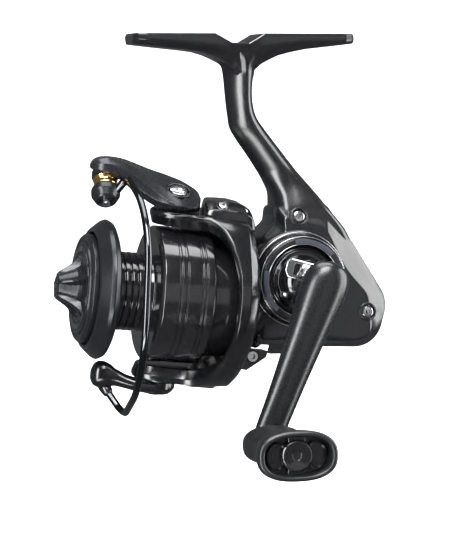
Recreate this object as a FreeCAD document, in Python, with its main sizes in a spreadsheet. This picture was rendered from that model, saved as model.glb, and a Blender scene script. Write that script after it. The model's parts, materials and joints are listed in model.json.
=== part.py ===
import FreeCAD, Part
import Sketcher
import math
import os
import re
from FreeCAD import Placement, Rotation, Vector

# Open-face spinning reel, in millimetres.
# +X points forward along the rod, +Y to the crank side, +Z up.
# The origin is the middle of the foot's flat top.
# Rotor, spool and main shaft are drawn along their own axis and then tilted nose-up by shaft_tilt.

DIMENSIONS = {
    # foot and stem
    "foot_half": 30.0, "foot_half_width": 6.8, "foot_tip_thick": 2.6, "notch_depth": 2.4,
    "stem_half_width": 4.6,
    # body
    "parting": 3.0, "far_wall": 11.5, "near_wall": 11.3, "wall": 1.8,
    "shaft_drop": 70.05, "shaft_tilt": 5.45, "crank_back": 12.6, "crank_drop": 64.2,
    "boss_radius": 11.3, "boss_face": 15.0, "recess_radius": 9.4, "recess_floor": 12.4,
    "collar_radius": 8.2,
    # bearings
    "crank_shaft_radius": 3.0, "bearing_outer": 6.5, "bearing_width": 2.6,
    "pinion_bearing_outer": 6.0, "pinion_journal": 3.0,
    # gears
    "drive_outer": 8.8, "drive_inner": 6.4, "drive_teeth": 36, "pinion_tip": 3.6, "pinion_teeth": 7,
    "gear_module": 0.8, "small_teeth": 12, "large_teeth": 20, "oscillation_low": 4.0,
            "oscillation_high": 6.0,
    # main shaft and slider
    "shaft_radius": 1.6, "shaft_tail": 24.0, "shaft_nose": 46.8, "slider_middle": 23.5, "slider_half": 3.5,
    "rail_height": 7.0, "rail_radius": 1.0, "cam_throw": 3.0,
    # rotor
    "rotor_turn": 7.0, "rotor_radius": 20.6, "rotor_base": 6.0, "drum_radius": 15.6, "drum_front": 15.5,
    "arm_inner": 18.6, "arm_outer": 22.5, "cover_outer": 26.2,
    "pivot": 20.8, "pivot_boss": 6.6,
    # bail
    "bail_seat": 22.8, "bail_root_top": 27.6, "wire_radius": 0.75,
    # spool
    "skirt_radius": 17.8, "skirt_back": 11.5, "skirt_front": 26.2, "skirt_wall": 1.3, "arbor_radius": 10.3,
    "lip_radius": 18.3, "lip_back": 36.4, "lip_front": 41.6,
    # drag
    "knob_radius": 14.4, "knob_back": 40.6, "knob_tip": 50.3, "nut_radius": 3.4,
    # crank
    "arm_lean": 23.0, "crank_radius": 42.0, "pin_out": 27.0, "block_half": 3.5,
    "knob_start": 38.6, "knob_end": 64.0, "knob_shaft_radius": 2.0,
    # fits
    "running": 0.05, "gap": 0.3,
}

doc = FreeCAD.newDocument("spinning_reel")
sheet = doc.addObject("Spreadsheet::Sheet", "Sizes")
for row, (alias, number) in enumerate(DIMENSIONS.items(), start=1):
    sheet.set("A%d" % row, alias)
    sheet.set("B%d" % row, str(number))
    sheet.setAlias("B%d" % row, alias)
doc.recompute()

PARTS = []


def size(alias):
    """One driving dimension, read from the sheet."""
    return float(getattr(sheet, alias))


def value(text):
    """Number that a sum of products such as 'lip_radius - 2*gap' stands for."""
    total = 0.0
    for sign, term in re.findall(r"([+-]?)\s*([^+-]+)", str(text)):
        product = -1.0 if sign == "-" else 1.0
        for factor in term.split("*"):
            factor = factor.strip()
            product *= size(factor) if factor in DIMENSIONS else float(factor)
        total += product
    return total


def bind(target, prop, text):
    """Bind a property to the sheet's cells that the text names."""
    def owner(found):
        return "Sizes." + found.group() if found.group() in DIMENSIONS else found.group()

    named = re.sub(r"[a-z_]+", owner, str(text))
    target.setExpression(prop, named)


# ---------------------------------------------------------------- frames

ORIGIN = Placement()
SHAFT = Placement(Vector(0, 0, -size("shaft_drop")), Rotation(Vector(0, 1, 0), -size("shaft_tilt")))
ROTOR = SHAFT.multiply(Placement(Vector(), Rotation(Vector(1, 0, 0), -size("rotor_turn"))))
CRANK = Placement(Vector(-size("crank_back"), 0, -size("crank_drop")), Rotation(Vector(0, 0, 1), 90))
ARM = CRANK.multiply(Placement(Vector(), Rotation(Vector(1, 0, 0), -size("arm_lean"))))
KNOB = Placement(ARM.multVec(Vector(0, 0, -size("crank_radius"))), CRANK.Rotation)


RAIL = SHAFT.multiply(Placement(Vector(0, 0, size("rail_height")), Rotation()))


def along(axis_direction, origin):
    """Frame whose X axis lies along a direction."""
    return Placement(origin, Rotation(Vector(1, 0, 0), axis_direction))


LEVER = Placement(Vector(-9.9, 0, -79.1), Rotation())
PAWL = SHAFT.multiply(Placement(Vector(2.6, 3.4, -6.2), Rotation(Vector(1, 0, 0), 60)))
ROLLER = ROTOR.multiply(along(Vector(0.06, 0.746, -0.664), Vector(39.7, -2.7, 29.2)))

# The crank axis and the large gear's axis as (along, up) places in the shaft's frame. The gears' centres
# lie a pitch distance apart, and the large gear stands over the middle of the slider.
TILT = math.radians(size("shaft_tilt"))
CRANK_ABOVE = size("shaft_drop") - size("crank_drop")
CRANK_ALONG = CRANK_ABOVE * math.sin(TILT) - size("crank_back") * math.cos(TILT)
CRANK_UP = size("crank_back") * math.sin(TILT) + CRANK_ABOVE * math.cos(TILT)
CENTRES = size("gear_module") * (size("small_teeth") + size("large_teeth")) / 2
BACKWARD = size("slider_middle") + CRANK_ALONG
DOWNWARD = math.sqrt(CENTRES ** 2 - BACKWARD ** 2)
GEAR_PLACE = SHAFT.multVec(Vector(-size("slider_middle"), 0, CRANK_UP - DOWNWARD))
LARGE_GEAR = Placement(GEAR_PLACE, CRANK.Rotation)
# Direction from the small gear to the large one, in degrees from the crank frame's Y axis,
# which points backward, towards Z.
TO_LARGE_GEAR = math.degrees(math.atan2(GEAR_PLACE.z + size("crank_drop"),
        -GEAR_PLACE.x - size("crank_back")))
MESH_PIN = Placement(Vector(), Rotation(Vector(1, 0, 0), -TO_LARGE_GEAR - 180 - 180.0 / size("large_teeth")))

# ---------------------------------------------------------------- sketches and features

# Each origin plane's sketch normal: +1 along the missing axis, -1 against it.
NORMAL_SIGN = {"XY": 1, "YZ": 1, "XZ": -1}


def new_body(label, placement=ORIGIN, keep=True):
    """PartDesign body; one that only feeds a boolean isn't kept as a sub-part."""
    body = doc.addObject("PartDesign::Body", label)
    body.Label = label
    body.Placement = placement
    if keep:
        PARTS.append(body)
    return body


def new_sketch(body, plane, level=0):
    """Sketch on one of the body's own origin planes, shifted to a level along the missing axis."""
    sketch = body.newObject("Sketcher::SketchObject", body.Name + "_sketch")
    support = next(f for f in body.Origin.OriginFeatures if f.Role == plane + "_Plane")
    sketch.AttachmentSupport = [(support, "")]
    sketch.MapMode = "FlatFace"
    text = str(level) if NORMAL_SIGN[plane] > 0 else "-1*(%s)" % level
    bind(sketch, "AttachmentOffset.Base.z", text)
    return sketch


def constrain(sketch, kind, *places_and_text):
    *places, text = places_and_text
    text = text if isinstance(text, str) else round(text, 5)
    index = sketch.addConstraint(Sketcher.Constraint(kind, *places, value(text)))
    bind(sketch, "Constraints[%d]" % index, text)


def place_point(sketch, edge, end, across, up):
    constrain(sketch, "DistanceX", -1, 1, edge, end, across)
    constrain(sketch, "DistanceY", -1, 1, edge, end, up)


def arc_between(start, end, radius):
    """Anticlockwise arc for a positive radius, clockwise for a negative one; always stored anticlockwise."""
    first, last = (start, end) if radius > 0 else (end, start)
    chord = last - first
    depth = math.sqrt(max(radius ** 2 - chord.Length ** 2 / 4, 0))
    centre = (first + last) * 0.5 + Vector(-chord.y, chord.x, 0).normalize() * depth
    angles = [math.atan2(p.y - centre.y, p.x - centre.x) for p in (first, last)]
    return Part.ArcOfCircle(Part.Circle(centre, Vector(0, 0, 1), abs(radius)), *angles)


def add_outline(sketch, outline):
    """Closed outline. A corner is (across, up), or (across, up, radius) where an arc starts."""
    outline = [tuple(c if isinstance(c, str) else round(c, 5) for c in corner) for corner in outline]
    corners = [Vector(value(c[0]), value(c[1]), 0) for c in outline]
    ends = []
    for i, corner in enumerate(outline):
        start, end = corners[i], corners[(i + 1) % len(corners)]
        if len(corner) == 3:
            radius = value(corner[2])
            index = sketch.addGeometry(arc_between(start, end, radius), False)
            ends.append((index, 1, 2) if radius > 0 else (index, 2, 1))
        else:
            index = sketch.addGeometry(Part.LineSegment(start, end), False)
            ends.append((index, 1, 2))
    for i, corner in enumerate(outline):
        before = ends[i - 1]
        edge, start_end, _ = ends[i]
        sketch.addConstraint(Sketcher.Constraint("Coincident", before[0], before[2], edge, start_end))
        place_point(sketch, edge, start_end, corner[0], corner[1])
        if len(corner) == 3:
            radius = corner[2].lstrip("-") if isinstance(corner[2], str) else abs(corner[2])
            constrain(sketch, "Radius", edge, radius)


def add_circle(sketch, across, up, radius):
    across, up = (c if isinstance(c, str) else round(c, 5) for c in (across, up))
    circle = Part.Circle(Vector(value(across), value(up), 0), Vector(0, 0, 1), value(radius))
    index = sketch.addGeometry(circle, False)
    place_point(sketch, index, 3, across, up)
    constrain(sketch, "Radius", index, radius)


def box_outline(left, right, bottom, top):
    return [(left, bottom), (right, bottom), (right, top), (left, top)]


def prism(body, plane, low, high, outlines=(), circles=(), cut=False):
    """Pad or pocket of outlines and circles between two levels along the missing axis."""
    base = body.Shape.Volume if body.Tip else 0
    sketch = new_sketch(body, plane, low if NORMAL_SIGN[plane] > 0 else high)
    for outline in outlines:
        add_outline(sketch, outline)
    for circle in circles:
        add_circle(sketch, *circle)
    feature = body.newObject("PartDesign::Pocket" if cut else "PartDesign::Pad", body.Name + "_feature")
    feature.Profile = sketch
    bind(feature, "Length", "(%s)-(%s)" % (high, low))
    feature.Reversed = cut
    doc.recompute()
    if cut and body.Shape.Volume >= base:
        raise RuntimeError("pocket of %s cuts nothing" % body.Label)
    return feature


def turn(body, outline, cut=False, degrees=360):
    """Revolution or groove about the body's X axis of an outline given as (along, radius)."""
    sketch = new_sketch(body, "XZ")
    add_outline(sketch, outline)
    feature = body.newObject("PartDesign::Groove" if cut else "PartDesign::Revolution", body.Name + "_turn")
    feature.Profile = sketch
    feature.ReferenceAxis = (sketch, ["H_Axis"])
    feature.Angle = degrees
    doc.recompute()
    return feature


def lathe(label, outline, placement=ORIGIN):
    """Whole sub-part turned about its X axis."""
    body = new_body(label, placement)
    turn(body, outline)
    return body


def tube_outline(low, high, inner, outer):
    return [(low, inner), (high, inner), (high, outer), (low, outer)]


def repeat_round(body, feature, count):
    """Polar pattern of one feature about the body's X axis."""
    pattern = body.newObject("PartDesign::PolarPattern", body.Name + "_round")
    pattern.Originals = [feature]
    axis = next(f for f in body.Origin.OriginFeatures if f.Role == "X_Axis")
    pattern.Axis = (axis, [""])
    pattern.Angle = 360
    pattern.Occurrences = count
    body.Tip = pattern
    doc.recompute()


def boolean(label, kind, base, tool):
    """Part::Cut, Part::Fuse or Part::Common of two objects, kept as a sub-part."""
    result = doc.addObject("Part::" + kind, label)
    result.Label = label
    result.Base = base
    result.Tool = tool
    doc.recompute()
    return result


def keep(item, label):
    """Name a finished object and write it as a sub-part."""
    item.Label = label
    PARTS.append(item)
    return item


def rod(label, radius, low, high, placement):
    """Part::Cylinder along the X axis of a frame, between two levels."""
    cylinder = doc.addObject("Part::Cylinder", label)
    bind(cylinder, "Radius", radius)
    bind(cylinder, "Height", "(%s)-(%s)" % (high, low))
    turned = Placement(Vector(value(low), 0, 0), Rotation(Vector(0, 1, 0), 90))
    cylinder.Placement = placement.multiply(turned)
    return cylinder


def soften(body, radius, chosen):
    """Fillet of the edges that a test picks."""
    edges = ["Edge%d" % (i + 1) for i, edge in enumerate(body.Shape.Edges) if chosen(edge)]
    base = body.Tip
    fillet = body.newObject("PartDesign::Fillet", body.Name + "_fillet")
    fillet.Base = (base, edges)
    fillet.Radius = radius
    doc.recompute()
    if "Invalid" in fillet.State:
        raise RuntimeError("a fillet of %s fails" % body.Label)


def shape_part(label, shape, placement=ORIGIN):
    """Free-form sub-part whose shape is worked out from the sheet."""
    feature = doc.addObject("Part::Feature", label)
    feature.Label = label
    feature.Shape = shape
    feature.Placement = placement
    PARTS.append(feature)
    return feature


def screw_outline(seat, head_radius, head_height, shank_radius, shank_length):
    """Pan-head screw along X: head above the seat, shank below, hex socket in the head."""
    socket = 0.45 * head_radius
    return [
        (seat - shank_length, 0), (seat + 0.4 * head_height, 0), (seat + 0.4 * head_height, socket),
        (seat + head_height, socket), (seat + head_height, 0.85 * head_radius),
        (seat + 0.7 * head_height, head_radius), (seat, head_radius), (seat, shank_radius),
        (seat - shank_length, shank_radius),
    ]


def turned_shape(outline):
    """Solid of revolution about X, for groups of fasteners in one node."""
    points = [Vector(a, 0, r) for a, r in outline]
    face = Part.Face(Part.makePolygon(points + points[:1]))
    return face.revolve(Vector(), Vector(1, 0, 0), 360)


def group_of_screws(label, outline, frames):
    """Identical fasteners as separate solids in one sub-part."""
    screws = []
    for frame in frames:
        screw = turned_shape(outline)
        screw.Placement = frame
        screws.append(screw)
    return shape_part(label, Part.makeCompound(screws))


# ---------------------------------------------------------------- body housing and side cover

BODY_OUTLINE = [
    (-8.2, -45.4), (-7.4, -49.4), (-3.4, -53.6), (-0.2, -81.2), (-12.0, -82.2), (-31.0, -82.6, -10.5),
    (-39.3, -74.6, -9.0), (-38.6, -66.0), (-30.5, -55.7), (-22.2, -45.4),
]
CAVITY_OUTLINE = [
    (-12.0, -50.6), (-4.6, -54.6), (-1.8, -79.2), (-31.0, -80.6), (-36.9, -75.0), (-36.6, -67.2),
    (-29.0, -56.6),
    (-24.0, -50.6),
]
STEM_OUTLINE = [
    (5.2, -8.0), (4.1, -17.6), (2.8, -25.2), (-7.4, -41.0), (-8.2, -45.6), (-22.2, -45.6), (-19.1, -41.3),
    (-6.5, -25.3), (-3.2, -17.0), (-3.8, -8.0),
]
COVER_SCREWS = [(-13.2, -47.9), (-31.6, -73.2), (-5.4, -77.6)]
CRANK_CENTRE = ("-1*crank_back", "-1*crank_drop")


def foot_outline():
    """Side view of the foot: flat top with a notch, and a belly that sweeps into the stem."""
    tip = "foot_half"
    return [
        ("-1*" + tip, "-0.4"), ("-1*%s+0.6" % tip, 0), (-4.8, 0), (-0.7, "-1*notch_depth"),
        (4.0, "-1*notch_depth"),
        (8.4, 0), ("%s-0.6" % tip, 0), (tip, "-0.4"), ("%s-0.3" % tip, "-1*foot_tip_thick"), (16.3, -4.3),
        (9.1, -5.7, 5.5), (5.0, -10.4), (-3.4, -10.4, 5.5), (-8.9, -5.6), (-16.5, -4.2),
        ("-1*%s+0.3" % tip, "-1*foot_tip_thick"),
    ]


def make_housing():
    """Casting of the far half of the body with the stem and the foot."""
    casting = new_body("housing_casting", keep=False)
    prism(casting, "XZ", "-1*far_wall", "parting", [BODY_OUTLINE])
    far_rim = size("far_wall")
    soften(casting, 4.0, lambda e: e.BoundBox.YMax < -far_rim + 0.01)
    prism(casting, "XZ", "wall-1*far_wall", "parting", [CAVITY_OUTLINE], cut=True)
    prism(casting, "XZ", "-1*stem_half_width", "stem_half_width", [STEM_OUTLINE])
    soften(casting, 2.4, is_stem_corner)
    prism(casting, "XZ", "-1*foot_half_width", "foot_half_width", [foot_outline()])
    prism(casting, "XZ", "-1*far_wall-2.2", "wall-1*far_wall", circles=[CRANK_CENTRE + (7.6,)])
    seat = CRANK_CENTRE + ("bearing_outer-0.5+running",)
    prism(casting, "XZ", "-1*far_wall-1.4", "wall-1*far_wall+0.1", circles=[seat], cut=True)
    bore = CRANK_CENTRE + ("crank_shaft_radius+gap",)
    prism(casting, "XZ", "-1*far_wall-2.3", "-1*far_wall-1.3", circles=[bore], cut=True)
    prism(casting, "XZ", "wall-1*far_wall-0.1", 1.6, [box_outline(-37.4, -33.4, -68.6, -64.2)])
    prism(casting, "XY", -84.0, -79.0, [box_outline(-12.4, -7.4, -2.4, 2.4)], cut=True)
    collar_hole = rod("housing_collar_hole", "collar_radius+0.02", -10, 4, SHAFT)
    rail_hole = rod("housing_rail_hole", "rail_radius+0.02", -34.8, -30, RAIL)
    drilled = boolean("housing_drilled", "Cut", casting, collar_hole)
    keep(boolean("body_housing", "Cut", drilled, rail_hole), "body_housing")


def is_stem_corner(edge):
    """Long edges of the stem's two flat flanks."""
    box = edge.BoundBox
    on_flank = abs(abs(box.YMin) - size("stem_half_width")) < 0.01 and box.YLength < 0.01
    return on_flank and box.ZMin > -46 and box.ZMax < -7.9 and box.ZLength > 4


def make_cover():
    """Crank-side shell with the bearing boss."""
    shell = new_body("cover_shell", keep=False)
    prism(shell, "XZ", "parting", "near_wall", [BODY_OUTLINE])
    near_rim = size("near_wall")
    soften(shell, 2.2, lambda e: e.BoundBox.YMin > near_rim - 0.01)
    prism(shell, "XZ", "near_wall-2*wall", "boss_face", circles=[CRANK_CENTRE + ("boss_radius",)])
    prism(shell, "XZ", "parting", "near_wall-1*wall", [CAVITY_OUTLINE], cut=True)
    prism(shell, "XZ", "recess_floor", "boss_face", circles=[CRANK_CENTRE + ("recess_radius",)], cut=True)
    seat = CRANK_CENTRE + ("bearing_outer+running",)
    prism(shell, "XZ", "near_wall-1*wall", "recess_floor", circles=[seat], cut=True)
    prism(shell, "XZ", "parting", "stem_half_width+0.05", [box_outline(-24, -7, -45.62, -45.2)], cut=True)
    for x, z in COVER_SCREWS:
        prism(shell, "XZ", 6.6, "near_wall-1*wall", circles=[(x, z, 2.2)])
        prism(shell, "XZ", 10.6, "near_wall", circles=[(x, z, 2.0)], cut=True)
        prism(shell, "XZ", 6.9, 10.6, circles=[(x, z, 1.0)], cut=True)
    hole = rod("cover_collar_hole", "collar_radius+0.02", -10, 4, SHAFT)
    keep(boolean("side_cover", "Cut", shell, hole), "side_cover")


def side_frames(places, out):
    """Frames along +Y at a distance from the middle plane."""
    return [along(Vector(0, 1, 0), Vector(x, out, z)) for x, z in places]


def make_frame_group():
    make_housing()
    make_cover()
    group_of_screws("cover_screws", screw_outline(0, 1.75, 0.9, 0.95, 3.4), side_frames(COVER_SCREWS, 10.6))
    ring = lathe("boss_ring", tube_outline("boss_face", "boss_face+1.5", "recess_radius+0.2",
            "boss_radius-0.5"), CRANK)
    slot = [box_outline(-0.6, 0.6, 9.0, 11.5)]
    notch = prism(ring, "YZ", "boss_face+0.6", "boss_face+1.5", slot, cut=True)
    repeat_round(ring, notch, 6)
    near_low = size("near_wall") - size("wall") + 0.1
    ball_bearing("handle_bearing", near_low, size("bearing_outer"), size("crank_shaft_radius"), CRANK)
    far_low = -size("far_wall") - 1.4
    ball_bearing("far_bearing", far_low, size("bearing_outer") - 0.5, size("crank_shaft_radius"), CRANK)
    make_front_collar()
    lathe("slider_rail", [(-34.6, 0), (-17.2, 0), (-17.2, "rail_radius"), (-34.6, "rail_radius")], RAIL)
    lathe("oscillation_axle", [(3.4, 0), (9.5, 0), (9.5, 1.2), (3.4, 1.2)], LARGE_GEAR)
    make_trip_ramp()
    make_anti_reverse()


def make_front_collar():
    """Turned seat for the pinion bearing, with its retainer plate."""
    bore = 4.4
    seat = "pinion_bearing_outer+running"
    lathe("front_collar", [
        (-2.9, bore), (-1.4, bore), (-1.4, seat), (2.0, seat), (2.0, "collar_radius"),
        (-2.9, "collar_radius"),
    ], SHAFT)
    ball_bearing("pinion_bearing", -1.3, size("pinion_bearing_outer"), size("pinion_journal"), SHAFT)
    plate = new_body("bearing_retainer", SHAFT)
    screw_places = [(6.95 * math.cos(a), 6.95 * math.sin(a)) for a in (0.5, 2.6, 4.0)]
    rings = [(0, 0, 7.9), (0, 0, 3.6)] + [(y, n, 0.62) for y, n in screw_places]
    prism(plate, "YZ", 2.0, 2.5, circles=rings)
    frames = [SHAFT.multiply(Placement(Vector(2.5, y, n), Rotation())) for y, n in screw_places]
    group_of_screws("retainer_screws", screw_outline(0, 0.9, 0.35, 0.55, 0.5), frames)


def ball_bearing(label, low, outer, inner, placement):
    """Shielded ball bearing as one ring with sunk shields and a running bore."""
    high = low + size("bearing_width")
    bore = inner + size("running")
    lathe(label, [
        (low, bore), (high, bore), (high, bore + 0.8), (high - 0.2, bore + 0.8), (high - 0.2, outer - 0.8),
        (high, outer - 0.8), (high, outer), (low, outer), (low, outer - 0.8), (low + 0.2, outer - 0.8),
        (low + 0.2, bore + 0.8), (low, bore + 0.8),
    ], placement)


def make_trip_ramp():
    """Wedge under the body's nose that closes the bail, with its screw."""
    body = new_body("trip_ramp", SHAFT)
    prism(body, "XZ", -2.5, 3.6, [
        [(-1.4, -12.9), (-1.0, -18.2), (-2.3, -18.4), (-7.4, -14.6), (-7.8, -12.9)],
    ])
    prism(body, "XZ", 2.6, 3.6, circles=[(-3.6, -14.6, 1.75)], cut=True)
    prism(body, "XZ", -2.2, 2.6, circles=[(-3.6, -14.6, 0.85)], cut=True)
    seat = SHAFT.multiply(along(Vector(0, 1, 0), Vector(-3.6, 2.6, -14.6)))
    group_of_screws("trip_ramp_screw", screw_outline(0, 1.6, 1.4, 0.8, 4.4), [seat])


def make_anti_reverse():
    """Lever under the body, and the pawl that it lifts off the ratchet wheel."""
    lever = new_body("antireverse_lever", LEVER)
    turn(lever, [(-2.2, 0), (2.2, 0), (2.2, 1.1), (-2.2, 1.1)])
    prism(lever, "YZ", -2.0, 2.0, [box_outline(-0.8, 0.8, -5.2, 0)])
    prism(lever, "YZ", -2.1, 2.1, [box_outline(-1.3, 1.3, -5.6, -4.2)])
    pawl = new_body("pawl", PAWL)
    prism(pawl, "YZ", 0, 1.1, [[(-1.0, 0.2), (0, -1.0), (1.0, -0.9), (3.4, -0.5), (3.0, 0.5), (0, 1.0)]])
    lathe("pawl_pin", [(-0.05, 0), (1.7, 0), (1.7, 0.9), (1.45, 0.9), (1.45, 0.42), (-0.05, 0.42)], PAWL)
    prism(pawl, "YZ", 0, 1.1, circles=[(0, 0, 0.47)], cut=True)


# ---------------------------------------------------------------- crank, gears and oscillation

def spur_gear(label, teeth, first_tooth, low, high, bore, placement):
    """Spur gear along X; the first tooth points along a direction in degrees from the frame's Y axis."""
    module = size("gear_module")
    pitch = module * teeth / 2
    root, tip = pitch - 1.15 * module, pitch + 0.85 * module
    gear = new_body(label, placement.multiply(Placement(Vector(), Rotation(Vector(1, 0, 0), first_tooth))))
    turn(gear, tube_outline(low, high, bore, root))
    thick = 0.42 * math.pi * module
    tooth = [(root - 0.3, -0.72 * thick), (pitch, -0.5 * thick), (tip, -0.22 * thick), (tip, 0.22 * thick),
             (pitch, 0.5 * thick), (root - 0.3, 0.72 * thick)]
    repeat_round(gear, prism(gear, "YZ", low, high, [tooth]), teeth)
    return gear


def make_drive_gear():
    """Face gear on the crank shaft; its teeth stand towards the pinion."""
    gear = new_body("drive_gear", CRANK)
    bore = "crank_shaft_radius+0.02"
    turn(gear, [(-10.0, bore), (-5.0, bore), (-5.0, "drive_outer"), (-8.0, "drive_outer"), (-8.4, 4.6),
            (-10.0, 4.6)])
    tooth = [("drive_inner", -0.34), ("drive_outer", -0.48), ("drive_outer", 0.48), ("drive_inner", 0.34)]
    repeat_round(gear, prism(gear, "YZ", -5.0, -3.7, [tooth]), int(size("drive_teeth")))


def make_crank_shaft():
    journal = "crank_shaft_radius"
    lathe("handle_shaft", [
        (-15.2, 0), (14.4, 0), (14.4, "crank_shaft_radius-0.4"), (14.0, journal), (-14.8, journal),
        (-15.2, "crank_shaft_radius-0.4"),
    ], CRANK)
    lathe("far_cap", [
        (-17.2, 0), (-15.3, 0), (-15.3, "crank_shaft_radius+0.05"), (-14.1, "crank_shaft_radius+0.05"),
        (-14.1, 5.4),
        (-16.4, 5.4), (-17.2, 4.4),
    ], CRANK)
    lathe("handle_hub", [
        (12.9, "crank_shaft_radius+0.02"), (14.45, "crank_shaft_radius+0.02"), (14.45, 0), (19.6, 0),
        (19.6, 4.6),
        (18.8, 5.6), (14.8, 5.6), (14.4, 9.0), (12.9, 9.0),
    ], CRANK)
    block = new_body("fold_block", ARM)
    outline = [(19.6, -4.0), ("pin_out", -4.0, 4.05), ("pin_out", 4.0), (19.6, 4.0)]
    prism(block, "XZ", "-1*block_half", "block_half", [outline])
    prism(block, "XZ", "-1*block_half", "block_half", circles=[("pin_out", 0, 1.27)], cut=True)
    prism(block, "XZ", 1.3, "block_half", [box_outline(20.8, 23.6, -2.6, 2.6)], cut=True)


def ellipse_loft(sections, placement_of):
    """Solid through elliptic sections; each is (station, offset, half width, half height)."""
    wires = []
    for station, offset, half_width, half_height in sections:
        wide = half_width >= half_height
        ellipse = Part.Ellipse(Vector(), max(half_width, half_height), min(half_width, half_height))
        wire = Part.Wire(ellipse.toShape())
        turned = Rotation() if wide else Rotation(Vector(0, 0, 1), 90)
        wire.Placement = placement_of(station, offset).multiply(Placement(Vector(), turned))
        wires.append(wire)
    return Part.makeLoft(wires, True)


def make_handle_arm():
    """Forked crank arm, its hinge pin and the knob's shaft."""
    def section_frame(down, out):
        return Placement(Vector(out, 0, -down), Rotation())

    radius = size("crank_radius")
    bar = ellipse_loft([
        (-6.6, 31.4, 3.2, 2.6), (-5.2, 31.1, 5.4, 4.6), (0, 30.9, 7.0, 6.1), (6, 31.8, 6.1, 5.9),
        (14, 33.2, 4.8, 5.2),
        (28, 35.0, 3.2, 4.3), (radius - 2, 36.0, 2.3, 4.1), (radius + 3, 36.2, 1.9, 3.0),
    ], section_frame)
    half = size("block_half") + 0.1
    slot = Part.makeBox(12, 2 * half, 14, Vector(19.6, -half, -4.6))
    pin_hole = Part.makeCylinder(1.22, 16, Vector(size("pin_out"), -8, 0), Vector(0, 1, 0))
    shaft_hole = Part.makeCylinder(size("knob_shaft_radius") + 0.02, 12, Vector(30, 0, -radius),
            Vector(1, 0, 0))
    shape_part("handle_arm", bar.cut(slot).cut(pin_hole).cut(shaft_hole), ARM)
    pin_frame = ARM.multiply(along(Vector(0, 1, 0), Vector(size("pin_out"), 0, 0)))
    lathe("fold_pin", [(-5.6, 0), (5.6, 0), (5.6, 1.2), (-5.6, 1.2)], pin_frame)
    lathe("knob_shaft", [
        (34.4, 0), (58.6, 0), (58.6, 2.8), (57.4, 3.0), (57.4, "knob_shaft_radius"),
        (34.4, "knob_shaft_radius"),
    ], KNOB)


def make_handle_knob():
    """Paddle knob with a sunk face insert."""
    def section_frame(out, _):
        return Placement(Vector(out, 0, 0), Rotation(Vector(0, 1, 0), 90)).multiply(
            Placement(Vector(), Rotation(Vector(0, 0, 1), 90)))

    start, end = size("knob_start"), size("knob_end")
    paddle = ellipse_loft([
        (start, 0, 6.6, 4.0), (start + 2, 0, 7.8, 4.7), (start + 6, 0, 8.0, 4.8), (start + 11, 0, 6.9, 4.3),
        (start + 16, 0, 8.4, 5.3), (end - 4, 0, 10.2, 6.2), (end, 0, 9.6, 5.8),
    ], section_frame)
    bore = Part.makeCylinder(size("knob_shaft_radius") + 0.1, 24, Vector(start - 1, 0, 0), Vector(1, 0, 0))
    pocket = Part.makeCylinder(3.5, 20, Vector(57.0, 0, 0), Vector(1, 0, 0))
    window = ellipse_loft([(60.0, 0, 7.6, 4.4), (end + 1, 0, 8.2, 4.9)], section_frame)
    shape_part("handle_knob", paddle.cut(bore).cut(pocket).cut(window), KNOB)
    insert = ellipse_loft([(60.0, 0, 7.55, 4.35), (61.6, 0, 7.7, 4.5)], section_frame)
    eye = Part.makeCylinder(0.7, 4, Vector(59, 0, 0), Vector(1, 0, 0))
    shape_part("knob_insert", insert.cut(eye), KNOB)


def make_oscillation():
    """Small gear on the crank shaft, large gear with its cam pin, and the slider that the pin drives."""
    low, high = size("oscillation_low"), size("oscillation_high")
    spur_gear("oscillation_pinion", int(size("small_teeth")), TO_LARGE_GEAR, low, high, 3.02, CRANK)
    half_tooth = 180.0 / size("large_teeth")
    gear = spur_gear("oscillating_gear", int(size("large_teeth")), TO_LARGE_GEAR + 180 + half_tooth, low,
            high, 1.28,
                     LARGE_GEAR)
    pin = MESH_PIN.multVec(Vector(0, 0, -size("cam_throw")))
    prism(gear, "YZ", low - 0.9, low, circles=[(pin.y, pin.z, 0.9)])
    slider = new_body("slider", SHAFT)
    back, front = "-1*slider_middle-1*slider_half", "slider_half-1*slider_middle"
    prism(slider, "XZ", -3.0, 2.9, [box_outline(back, front, -4.2, 8.7)])
    prism(slider, "XZ", 1.9, 2.9, [box_outline("-1*slider_middle-1.05", "1.05-1*slider_middle", -3.0,
            5.4)], cut=True)
    prism(slider, "YZ", back, front,
            circles=[(0, 0, "shaft_radius+0.02"), (0, "rail_height", "rail_radius+running")],
          cut=True)
    lathe("slider_screw", [
        (-28.4, 0), (-24.1, 0), (-24.1, 1.3), (-27.0, 1.3), (-27.0, 2.6), (-28.0, 2.6), (-28.4, 2.2),
    ], SHAFT)
    lathe("main_shaft", [
        ("-1*shaft_tail", 0), ("shaft_nose", 0), ("shaft_nose", "shaft_radius-0.3"),
        ("shaft_nose-0.3", "shaft_radius"),
        ("-1*shaft_tail", "shaft_radius"),
    ], SHAFT)
    wheel = new_body("click_wheel", SHAFT)
    turn(wheel, tube_outline(17.4, 18.6, "shaft_radius+0.02", 4.6))
    tooth = [(4.4, -0.55), (5.2, -0.15), (5.2, 0.15), (4.4, 0.55)]
    repeat_round(wheel, prism(wheel, "YZ", 17.4, 18.6, [tooth]), 18)


# ---------------------------------------------------------------- rotor and pinion

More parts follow.
